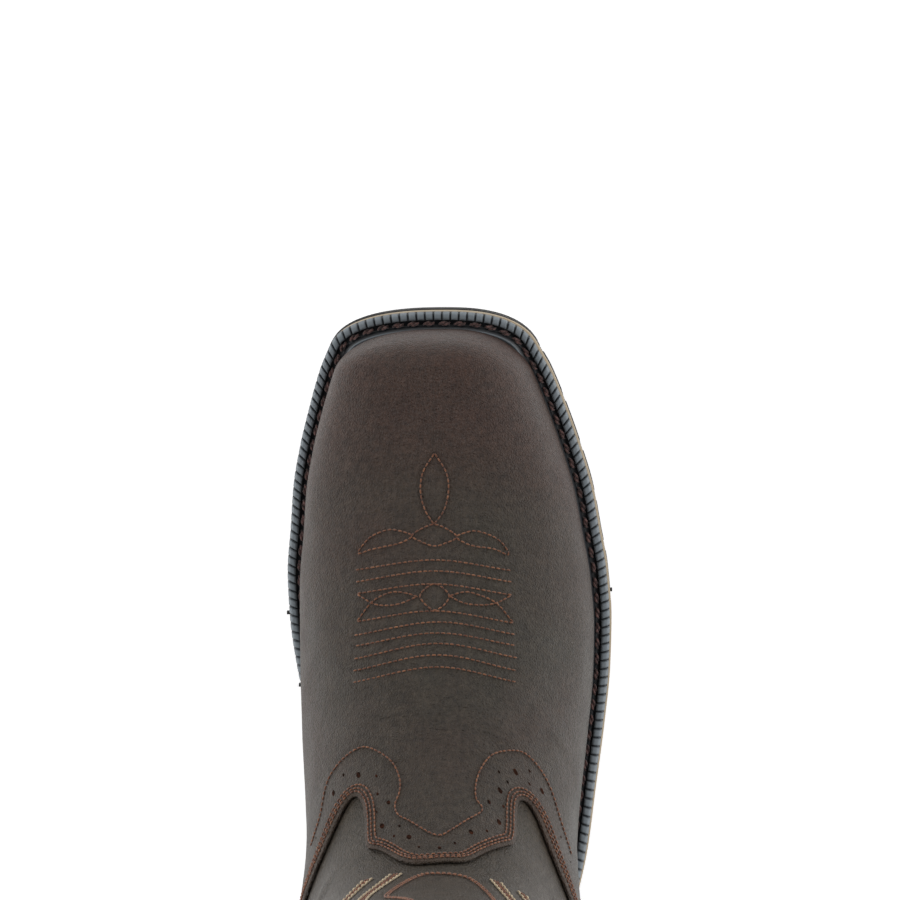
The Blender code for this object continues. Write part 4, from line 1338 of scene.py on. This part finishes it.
MEDALLION = (
    (0.0, 0.1665), (0.008, 0.1685), (0.0145, 0.180), (0.0185, 0.195), (0.0185, 0.207), (0.012, 0.219),
    (0.010, 0.228), (0.018, 0.238), (0.022, 0.250), (0.017, 0.262), (0.007, 0.270), (0.0, 0.282),
)
FLAME = (
    (0.0170, 0.1640), (0.0205, 0.172), (0.0270, 0.188), (0.0275, 0.207), (0.022, 0.218), (0.026, 0.228),
    (0.034, 0.240), (0.036, 0.256), (0.030, 0.270), (0.024, 0.282),
)
SIDE_FLAME = (
    (0.0275, 0.159), (0.0335, 0.169), (0.040, 0.184), (0.039, 0.203), (0.034, 0.216), (0.038, 0.230),
    (0.047, 0.243), (0.048, 0.258), (0.042, 0.272), (0.040, 0.285),
)


def shaft_lines(line, offsets, back_side=False):
    """Stitch rows from one half line, mirrored on both sides of the shaft's front or back."""
    half = curve_through(line, 8)
    rows = []
    for offset in offsets:
        moved = offset_line(half, offset)
        for side in (1, -1):
            shift = 0.0 if back_side else FRONT_SHIFT
            drop = 0.0 if back_side or side < 0 or line is MEDALLION else OUTER_DROP
            rows.append(cast_round(moved * np.array([side, 1.0]) + np.array([shift, -drop]), back_side))
    return rows


def folds(flat, creases, bow, waves, crest, crest_at):
    """Height of soft bowed troughs in a plane, with a low ridge beside each."""
    raised = np.zeros(flat.shape[:-1])
    names = ("start_a", "start_b", "stop_a", "stop_b", "depth", "width")
    for row, values in enumerate(zip(*(creases[name] / 1000 for name in names))):
        start, stop, (depth, width) = np.array(values[:2]), np.array(values[2:4]), values[4:]
        run = stop - start
        share = ((flat - start) @ run) / (run @ run)
        taper = np.clip(1 - (2 * np.clip(share, -0.5, 1.5) - 1) ** 2, 0, 1)
        across = np.array([-run[1], run[0]]) / np.linalg.norm(run)
        gap = (flat - start) @ across + bow * np.sin(share * waves + row)
        ridge = crest * np.exp(-(((gap - crest_at * width) / width) ** 2))
        raised += taper * depth * (ridge - np.exp(-((gap / width) ** 2)))
    return raised


def crease_relief(point):
    """Flex creases across the vamp."""
    return np.where(point[..., 2] < 0.2, folds(on_slope(point), CREASES, 0.0018, 7.0, 0.55, 1.5), 0.0)


ANKLE_CREASES = table(
    "start_a start_b stop_a stop_b depth width",
    (110.0, 150.0, 62.0, 128.0, 0.9, 4.5),
    (118.0, 166.0, 50.0, 150.0, 0.8, 5.0),
    (116.0, 186.0, 34.0, 176.0, 0.7, 6.0),
    (30.0, 140.0, 66.0, 152.0, 0.7, 5.0),
    (124.0, 136.0, 96.0, 118.0, 0.7, 4.0),
    (20.0, 160.0, 44.0, 166.0, 0.5, 4.5),
)


def ankle_relief(point):
    """Soft folds round the ankle, alike on both sides but not equal."""
    side = np.sign(point[..., 1])
    flat = from_side(point) + np.stack([0.004 * side, 0.003 * side], axis=-1)
    return folds(flat, ANKLE_CREASES, 0.003, 6.0, 0.6, 1.6)


# Sole
def ring_line(inset, height, count):
    f, l = outline_loop(inset, count)
    return np.stack([f, l, height(f)], axis=-1)


def build_midsole(made):
    """Tan layer with softly rounded edges, seen all round under the welt."""
    count = RING_POINTS
    profile = (
        (0.0012, 0.0), (0.0002, 0.0003), (0.0, 0.0010),
        (0.0, 0.0030), (0.0002, 0.0037), (0.0012, 0.0040),
    )
    rings = []
    for inset, up in profile:
        ring = ring_line(inset + MIDSOLE_INSET, lambda f: midsole_floor(f) + up, count)
        ring[:, 1] += MIDSOLE_INSET * np.clip(ring[:, 1] / LEDGE_REACH, 0, 1)
        rings.append(ring)
    faces = band_faces(len(rings), count, close_columns=True)
    faces += across_faces(0, count) + across_faces((len(rings) - 1) * count, count)
    return add_mesh("midsole_layer", np.concatenate(rings), faces, [made], ["midsole"])


def cutter_boxes(boxes):
    """One mesh of boxes (centre f, centre l, low z, high z, length, width, turn)."""
    signs = ((-1, -1), (1, -1), (1, 1), (-1, 1))
    sides = ((0, 3, 2, 1), (4, 5, 6, 7), (0, 1, 5, 4), (1, 2, 6, 5), (2, 3, 7, 6), (3, 0, 4, 7))
    points, faces = [], []
    for f, l, low, high, length, width, turn in boxes:
        faces += [[len(points) + k for k in side] for side in sides]
        for z in (low, high):
            for sign_f, sign_l in signs:
                a, b = sign_f * length / 2, sign_l * width / 2
                place_f = f + a * math.cos(turn) - b * math.sin(turn)
                place_l = l + a * math.sin(turn) + b * math.cos(turn)
                points.append((place_f, place_l, z))
    mesh = bpy.data.meshes.new("cutter")
    mesh.from_pydata(placed(np.array(points)).tolist(), [], faces)
    face_outward(mesh)
    cutter = bpy.data.objects.new("cutter", mesh)
    bpy.context.scene.collection.objects.link(cutter)
    return cutter


def carve(piece, boxes, operation="DIFFERENCE"):
    """Cuts or joins boxes and keeps the result as the piece's own mesh."""
    cutter = cutter_boxes(boxes)
    modifier = piece.modifiers.new("carve", "BOOLEAN")
    modifier.object = cutter
    modifier.operation = operation
    modifier.solver = "EXACT"
    modifier.use_self = True
    graph = bpy.context.evaluated_depsgraph_get()
    result = bpy.data.meshes.new_from_object(piece.evaluated_get(graph))
    piece.modifiers.remove(modifier)
    piece.data = result
    bpy.data.objects.remove(cutter)


def half_width_at(f, side):
    toe, heel = end_terms(f, SOLE_LENGTH, 0.0)
    return float(side_width(f, side) * np.clip(1 - toe - heel, 0, 1) ** (1 / squareness(f)))


def build_outsole(made):
    """Lug sole with a stepped side, deep side grooves, slanted middle grooves and small side nubs."""
    count = RING_POINTS
    roof = lambda f: tread_height(f) + LUG_DEPTH
    layers = (
        (SOLE_STEP, tread_height),
        (0.0002, lambda f: tread_height(f) + 0.0005),
        (0.0, lambda f: tread_height(f) + 0.0012),
        (0.0, lambda f: roof(f) - 0.0002),
        (SOLE_STEP, lambda f: roof(f) + 0.0004),
        (SOLE_STEP, lambda f: roof(f) + 0.0008),
        (0.0001, lambda f: roof(f) + 0.0014),
        (0.0, lambda f: tread_height(f) + OUTSOLE_THICKNESS - 0.0004),
        (0.0004, lambda f: tread_height(f) + OUTSOLE_THICKNESS),
    )
    rings = [ring_line(inset, height, count) for inset, height in layers]
    faces = band_faces(len(rings), count, close_columns=True)
    faces += across_faces(0, count) + across_faces((len(rings) - 1) * count, count)
    piece = add_mesh("lug_outsole", np.concatenate(rings), faces, [made], ["outsole"])
    boxes = []
    for f in np.arange(FIRST_GROOVE, SOLE_LENGTH - TREAD_END, GROOVE_PITCH):
        top = float(roof(f))
        for side in (1, -1):
            edge = half_width_at(f, side)
            middle = side * (edge + CUT_MARGIN + edge - GROOVE_REACH) / 2
            boxes.append((f, middle, CUT_FLOOR, top, GROOVE_GAP, CUT_MARGIN + GROOVE_REACH, 0.0))
            between = (f + GROOVE_PITCH / 2, side * SLOT_MIDDLE)
            boxes.append((*between, CUT_FLOOR, top - SLOT_DROP, SLOT_WIDTH, SLOT_LENGTH, side * SLOT_TURN))
    carve(piece, boxes)
    nubs = []
    for f, side, inset in SIDE_NUBS:
        middle = side * (half_width_at(f, side) - inset)
        base = float(tread_height(f))
        nubs.append((f, middle, base + NUB_LIFT, base + LUG_DEPTH - NUB_DROP, NUB_ALONG, NUB_ACROSS, 0.0))
    carve(piece, nubs, "UNION")
    piece.data.set_sharp_from_angle(angle=SHARP_ANGLE)
    return piece


def build_heel(made):
    """Heel block with rounded rims, a fine line round its side and grooves across its tread."""
    count = 160
    f, l = outline_loop(MIDSOLE_INSET, 1600)
    back = f < HEEL_LENGTH
    order = np.argsort(np.arctan2(l[back], HEEL_LENGTH - f[back]))
    f, l = f[back][order], l[back][order]
    run = np.concatenate([[0], np.cumsum(np.hypot(np.diff(f), np.diff(l)))])
    at = np.linspace(0, run[-1], count)
    middle = np.array([HEEL_LENGTH * HEEL_MIDDLE, 0.0])
    away = np.stack([np.interp(at, run, f), np.interp(at, run, l)], axis=-1) - middle
    rings = []
    layers = (
        (0.0, 0.0010), (0.012, 0.0003), (0.035, 0.0), (0.245, 0.0), (0.25, 0.0005), (0.275, 0.0005),
        (0.28, 0.0), (0.80, 0.0), (0.805, 0.0004), (0.825, 0.0004), (0.83, 0.0), (1.0, 0.0),
    )
    for share, drop in layers:
        taper = HEEL_TAPER * (1 - share) + drop
        plan = middle + away * (1 - taper / np.linalg.norm(away, axis=-1, keepdims=True))
        rings.append(np.column_stack([plan, share * (tread_height(plan[:, 0]) - SEAT_GAP)]))
    faces = band_faces(len(rings), count, close_columns=True)
    for base in (0, (len(rings) - 1) * count):
        for i in range(count // 2):
            corners = [base + i, base + i + 1, base + count - i - 2, base + count - i - 1]
            corners = list(dict.fromkeys(corners))
            if len(corners) > 2:
                faces.append(corners)
    piece = add_mesh("heel_block", np.concatenate(rings), faces, [made], ["heel"])
    boxes = []
    for share in HEEL_GROOVES:
        f = HEEL_LENGTH * share
        for side in (1, -1):
            edge = half_width_at(f, side)
            middle = side * (edge + CUT_MARGIN + edge - HEEL_GROOVE_REACH) / 2
            boxes.append((f, middle, CUT_FLOOR, LUG_DEPTH, GROOVE_GAP, CUT_MARGIN + HEEL_GROOVE_REACH, 0.0))
            ahead = (f + HEEL_SLOT_AHEAD, side * HEEL_SLOT_MIDDLE)
            boxes.append((*ahead, CUT_FLOOR, HEEL_SLOT_TOP, SLOT_WIDTH, HEEL_SLOT_LENGTH, side * SLOT_TURN))
    carve(piece, boxes)
    piece.data.set_sharp_from_angle(angle=SHARP_ANGLE)
    return piece


def ledge(ring):
    """Stands a ring of the welt back so that the midsole shows at the toe and along the outer side."""
    ring[:, 0] -= TOE_LEDGE * np.clip((ring[:, 0] - SOLE_LENGTH + LEDGE_REACH) / LEDGE_REACH, 0, 1)
    ring[:, 1] -= OUTER_LEDGE * np.clip(ring[:, 1] / LEDGE_REACH, 0, 1)
    return ring


def build_welt(made):
    """Storm welt: rounded rib blocks at the rim, a sunk stitch groove and a lip against the leather, with
    painted highlight on the rib tops and along the lip's edge.
    """
    f, l = outline_loop(0.0, 2000)
    length = np.hypot(np.diff(f, append=f[:1]), np.diff(l, append=l[:1])).sum()
    samples = 10
    count = int(round(length / RIB_PITCH)) * samples
    wave = np.arange(count) % samples / samples
    gap = np.clip(1.5 - 10.0 * np.abs(wave - 0.5), 0, 1)
    # Profile rows: inset, height, how far the rib gaps draw the ring in, and the share of painted highlight
    # on the rib tops.
    profile = (
        (0.0001, 0.0000, 0.0, 0.2),
        (0.0000, 0.0012, 0.2, 0.2),
        (0.0000, 0.0018, 1.0, 0.4),
        (0.0001, 0.0026, 1.0, 0.7),
        (0.0005, 0.0032, 1.0, 1.0),
        (0.0012, 0.0034, 1.0, 1.0),
        (0.0022, 0.0034, 1.0, 1.0),
        (0.0029, 0.0032, 1.0, 0.9),
        (0.0032, 0.0024, 0.5, 0.2),
        (0.0033, 0.0016, 0.0, 0.0),
    )
    rings, worn_and_highlit = [], []
    for inset, up, share, light in profile:
        ring = ring_line(inset, lambda f, up=up: welt_floor(f) + up, count)
        deeper = ring_line(inset + 0.0006, welt_floor, count)
        weight = (gap * share)[:, None]
        ring[:, :2] += (deeper[:, :2] - ring[:, :2]) * weight * (1.0 if up < 0.0030 else 0.3)
        ring[:, 2] -= 0.0012 * gap * share * (1.0 if up > 0.0020 else 0.4)
        rings.append(ledge(ring))
        # Painted highlight on the rib tops, none in the gaps between them.
        worn_and_highlit.append(light * (1 - gap))
    # Lip rows: inset beyond the feather line, height and painted highlight share; the 0.9 row is a painted
    # highlight line where the lip meets the leather.
    lip = (
        (-0.0014, 0.0015, 0.0), (-0.0010, 0.0018, 0.0), (-0.0005, 0.0028, 0.0), (0.0000, 0.0031, 0.1),
        (0.0003, 0.0034, 0.9), (0.0008, 0.0033, 0.3),
    )
    for extra, up, light in lip + ((WELT_HIDDEN, 0.0028, 0.0), (WELT_HIDDEN, 0.0, 0.0)):
        inset = lambda f, extra=extra: np.maximum(welt_show(f) + extra, 0.0054 + extra * 0.1)
        rings.append(ring_line(inset, lambda f, up=up: welt_floor(f) + up, count))
        worn_and_highlit.append(np.full(count, light))
    faces = band_faces(len(rings), count, close_rows=True, close_columns=True)
    points = np.concatenate(rings)
    return add_mesh("storm_welt", points, faces, [made], ["welt"], wear_and_highlight=np.concatenate(worn_and_highlit))


def build_lockstitch(made):
    """Twisted two-strand stitches in the welt's groove."""
    line = ledge(ring_line(STITCH_INSET, lambda f: welt_floor(f) + 0.0020, 6000))
    run = np.concatenate([[0], np.cumsum(np.linalg.norm(np.diff(line, axis=0), axis=1))])
    count = int(round(run[-1] / LOCKSTITCH_PITCH))
    step = run[-1] / count
    turn = np.linspace(0, 2 * math.pi, 6, endpoint=False)
    share = np.linspace(-1, 1, 13)
    points, faces, base = [], [], 0
    sides = band_faces(len(share), 6, close_columns=True)
    for i in range(count):
        at = (i + 0.5) * step + share * step * 0.40
        middle = read_along(line, run, at)
        forward = np.gradient(middle, axis=0)
        forward /= np.linalg.norm(forward, axis=1, keepdims=True)
        side = np.cross([0.0, 0.0, 1.0], forward)
        side /= np.linalg.norm(side, axis=1, keepdims=True)
        up = np.cross(forward, side)
        dip = -0.0009 * np.clip(np.abs(share) - 0.6, 0, 1)[:, None] / 0.4
        for phase in (0.0, math.pi):
            twist = phase + share * 2.6
            away = np.cos(twist)[:, None] * side + np.sin(twist)[:, None] * up
            centre = middle + STRAND_RADIUS * 0.85 * away + dip * up
            girth = STRAND_RADIUS * np.clip(1.25 - np.abs(share) ** 4, 0.3, 1)[:, None, None]
            spoke = np.cos(turn)[:, None] * side[:, None] + np.sin(turn)[:, None] * up[:, None]
            ring = centre[:, None] + girth * spoke
            points.append(ring.reshape(-1, 3))
            faces += [[base + k for k in quad] for quad in sides]
            faces += [[base + k for k in range(6)], [base + len(share) * 6 - 6 + k for k in range(6)]]
            base += len(share) * 6
    return add_mesh("welt_stitching", np.concatenate(points), faces, [made])


def build_holes(made):
    """Pinked holes: dark oval pits with a soft pressed rim, laid just over the leather; their dark colour is
    painted shade of the hole's inside.
    """
    turn = np.linspace(0, 2 * math.pi, 16, endpoint=False)
    pixels = np.column_stack([HOLES["x"], HOLES["y"]])
    point, normal = cast_pixels(pixels)
    points, faces, base = [], [], 0
    for p, n, share in zip(point, normal, HOLES["share"]):
        long = np.cross(n, [math.sin(HOLE_SLANT), math.cos(HOLE_SLANT), 0.0])
        long /= np.linalg.norm(long)
        wide = np.cross(n, long)
        size = HOLE_SIZE * share
        for grow, lift in ((1.0, 0.00006), (0.75, 0.00004), (0.1, 0.00003)):
            oval = 1.35 * np.cos(turn)[:, None] * long + 0.85 * np.sin(turn)[:, None] * wide
            points.append(p + size * grow * oval + lift * n)
        faces += [[base + k for k in quad] for quad in band_faces(3, 16, close_columns=True)]
        faces.append([base + 32 + k for k in range(16)])
        base += 48
    return add_mesh("pinked_holes", np.concatenate(points), faces, [made])


def build_binding(made):
    """Rolled leather edge over the collar."""
    count = 220
    around = np.linspace(0, 1, count, endpoint=False)
    profile = (
        (0.0079, 0.0004), (0.0070, -0.0001), (0.0040, -0.0003), (0.0012, -0.0002), (0.0002, 0.0002),
        (-0.0005, 0.0011), (-0.0007, 0.0022), (-0.0004, 0.0034), (0.0006, 0.0043), (0.0022, 0.0046),
        (0.0060, 0.0046), (0.0062, 0.0040), (0.0010, 0.0030), (0.0014, 0.0022), (0.0070, 0.0012),
    )
    top, _ = surface(np.full(count, 3.0), around)
    rings = []
    for drop, depth in profile:
        reach = 3 - np.clip(drop, 0, 1) / (top[:, 2] - PIVOT_HEIGHT)
        point, normal = surface(reach, around)
        normal = normal * np.array([1.0, 1.0, 0.0])
        normal /= np.linalg.norm(normal, axis=1, keepdims=True)
        point = point - depth * normal
        point[:, 2] += max(-drop, 0.0)
        rings.append(point)
    faces = band_faces(len(rings), count, close_rows=True, close_columns=True)
    points = np.concatenate(rings)
    return add_mesh("rolled_binding", points, faces, [made], ["collar_binding"])


def strap_path(count):
    """Middle line of a pull strap (away, up)."""
    shell = OVERLAY_THICKNESS + OVERLAY_GAP + LEATHER_WALL
    inside = -shell - 2 * SEAT_GAP - STRAP_THICKNESS / 2
    outside = SEAT_GAP + STRAP_THICKNESS / 2
    middle = (inside + outside) / 2
    leg_height = np.linspace(BOOT_HEIGHT - STRAP_DROP, BOOT_HEIGHT - STRAP_THICKNESS, 6)
    crown = BOOT_HEIGHT + STRAP_LOOP - LOOP_RADIUS
    arc = np.linspace(-0.1, 1.1, 15) * math.pi
    away = np.concatenate([np.full(6, outside), middle + LOOP_RADIUS * np.cos(arc), np.full(6, inside)])
    up = np.concatenate([leg_height, crown + LOOP_RADIUS * np.sin(arc), leg_height[::-1]])
    line = curve_through(np.column_stack([away, up]), 4)
    run = np.concatenate([[0], np.cumsum(np.hypot(*np.diff(line, axis=0).T))])
    at = np.linspace(0, run[-1], count)
    return np.interp(at, run, line[:, 0]), np.interp(at, run, line[:, 1])


def shaft_side(f, side, z):
    f, z = np.broadcast_arrays(np.asarray(f, float), np.asarray(z, float))
    return first_hit((f, np.zeros_like(f), z), (np.zeros_like(f), np.full_like(f, side), np.zeros_like(f)))


def build_pull_straps(made, thread):
    """Leather loops over the collar with two stitch rows down each leg."""
    across = np.concatenate([[-0.5, -0.492], np.linspace(-0.47, 0.47, 13), [0.492, 0.5]])
    shrink = np.array([0.25, 0.75] + [1.0] * 13 + [0.75, 0.25])
    f = SOLE_LENGTH * SEAM_ALONG + STRAP_WIDTH * across
    away, up = strap_path(64)
    run_away, run_up = np.gradient(away), np.gradient(up)
    size = np.hypot(run_away, run_up)
    rows = []
    for side, label in ((1, "outer"), (-1, "inner")):
        grids = []
        for half in (STRAP_THICKNESS / 2, -STRAP_THICKNESS / 2):
            place = away[:, None] + half * shrink * (run_up / size)[:, None]
            height = up[:, None] - half * shrink * (run_away / size)[:, None]
            f_grid = np.broadcast_to(f, place.shape)
            shaft = shaft_side(f_grid, side, np.minimum(height, BOOT_HEIGHT))
            grids.append(np.stack([f_grid, side * (shaft + place), height], axis=-1))
        outer, inner = grids
        section = np.concatenate([outer, inner[:, ::-1]], axis=1)
        count = section.shape[1]
        faces = band_faces(section.shape[0], count, close_columns=True)
        faces += [list(range(count)), list(range((section.shape[0] - 1) * count, section.shape[0] * count))]
        points = section.reshape(-1, 3)
        add_mesh(f"pull_loop_{label}", points, faces, [made], [f"pull_strap_{label}"])
        low, high = 1, 20
        normal = np.tile([0.0, float(side), 0.0], (high - low, 1))
        rows += [(outer[low:high, k], normal) for k in (3, 13)]
        rows.append((outer[low + 1, 3:14], np.tile([0.0, float(side), 0.0], (11, 1))))
    beads("pull_loop_stitching", rows, thread)


def main():
    add_camera()
    add_studio()
    pull_up = (0.085, 0.042, 0.022)
    vamp_leather = leather_shade("vamp_leather", (0.0345, 0.0275, 0.0192), (0.044, 0.0215, 0.0150), pull_up)
    shaft_leather = leather_shade("shaft_leather", (0.037, 0.030, 0.0215), (0.050, 0.034, 0.022), pull_up)
    lining = leather_shade("lining", (0.16, 0.095, 0.05), (0.20, 0.12, 0.07), pull_up, 0.75, 0.6)
    strap_dark, strap_red = (0.028, 0.019, 0.0145), (0.040, 0.025, 0.017)
    strap_leather = leather_shade("strap_leather", strap_dark, strap_red, pull_up, 0.5)
    tread = rubber_shade("tread_rubber", (0.014, 0.014, 0.014), (0.035, 0.034, 0.033), 0.62)
    # The welt's last colour is painted highlight for its rib tops and the lip's edge line.
    welt_rubber = rubber_shade(
        "welt_rubber", (0.010, 0.011, 0.013), (0.020, 0.023, 0.027), 0.40, 900.0, 0.15, (0.200, 0.228, 0.250)
    )
    tan_rubber = rubber_shade("tan_rubber", (0.36, 0.29, 0.20), (0.44, 0.37, 0.27), 0.7)
    # Each thread's second colour is partly its tone and partly painted highlight on its high spots.
    rust_thread = thread_shade("rust_thread", (0.085, 0.026, 0.012), (0.26, 0.105, 0.045))
    cream_thread = thread_shade("cream_thread", (0.34, 0.26, 0.16), (0.52, 0.42, 0.28))
    welt_thread = thread_shade("welt_thread", (0.018, 0.009, 0.008), (0.17, 0.085, 0.075))
    # Painted shade for the inside of the pinked holes, with a touch of raw leather.
    hole_painted_shade = hole_shade("hole_painted_shade", (0.005, 0.003, 0.002), (0.050, 0.017, 0.009))

    insole_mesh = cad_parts["insole"].data
    insole_mesh.materials.clear()
    insole_mesh.materials.append(lining)

    pattern = vamp_lines()
    edge_rows = edge_lines(vamp_mask, 0.25, 1.1, 180, VAMP_ROWS)
    groove = nearness(pattern + edge_rows, SEAM_GROOVE_WIDTH)
    relief = lambda point: crease_relief(point) - SEAM_GROOVE * groove(point)
    leather_piece(
        "stitched_vamp",
        np.concatenate([np.linspace(0, 0.3, 90, endpoint=False), np.linspace(0.3, 1.08, 170)]),
        np.linspace(0, 1, 191),
        vamp_mask, 0.0, OVERLAY_THICKNESS, [vamp_leather, vamp_leather], ["vamp"], relief,
    )
    beads("vamp_stitching", pattern + edge_rows, rust_thread)

    rust_rows, cream_rows = [], []
    for back_side in (False, True):
        rust_rows += shaft_lines(MEDALLION, (0.0, 0.0011), back_side)
        for line in (FLAME, SIDE_FLAME):
            rust_rows += shaft_lines(line, (-0.0006, 0.0006), back_side)
            cream_rows += shaft_lines(line, (-0.0021, 0.0021), back_side)
    shaft_groove = nearness(rust_rows + cream_rows, SHAFT_GROOVE_WIDTH)
    shaft_relief = lambda point: ankle_relief(point) - 0.7 * SEAM_GROOVE * shaft_groove(point)
    leather_piece(
        "leather_shaft",
        np.concatenate([np.linspace(0, 0.5, 22, endpoint=False), np.linspace(0.5, 3.0, 180)]),
        np.linspace(0, 1, 191),
        None, SHAFT_DEPTH, LEATHER_WALL, [shaft_leather, lining], ["upper"], shaft_relief,
    )
    thread_depth, slot = SHAFT_DEPTH - THREAD_LIFT, "shaft_leather"
    beads("shaft_stitching_rust", rust_rows, rust_thread, thread_depth)
    beads("shaft_stitching_cream", cream_rows, cream_thread, thread_depth, CREAM_PITCH, CREAM_RADIUS)

    counter_rows = edge_lines(counter_mask, 0.5, 1.9, 160, COUNTER_ROWS)
    counter_groove = nearness(counter_rows, SEAM_GROOVE_WIDTH)
    counter_relief = lambda point: 0.6 * ankle_relief(point) - SEAM_GROOVE * counter_groove(point)
    leather_piece(
        "heel_counter_leather",
        np.linspace(0.4, 1.9, 150),
        np.linspace(0, 1, 221),
        counter_mask, 0.0, OVERLAY_THICKNESS, [vamp_leather, vamp_leather], ["heel_counter"],
        counter_relief,
    )
    beads("counter_stitching", counter_rows, rust_thread)
    seam_rows = []
    for side, label, low, high in ((1, "outer", 0.05, 0.45), (-1, "inner", 0.55, 0.95)):
        mask = seam_strip_mask(side)
        reach, around = np.linspace(0.9, 2.98, 150), np.linspace(low, high, 120)
        leather_piece(
            f"seam_strip_{label}", reach, around, mask, 0.0, OVERLAY_THICKNESS,
            [vamp_leather, vamp_leather], [f"side_seam_{label}"],
        )
        seam_rows += contour_lines(reach, around, mask, 0.0020)
    beads("seam_stitching", seam_rows, rust_thread)
    build_binding(vamp_leather)
    build_pull_straps(strap_leather, rust_thread)
    build_outsole(tread)
    build_heel(tread)
    build_midsole(tan_rubber)
    build_welt(welt_rubber)
    build_lockstitch(welt_thread)
    build_holes(hole_painted_shade)


main()
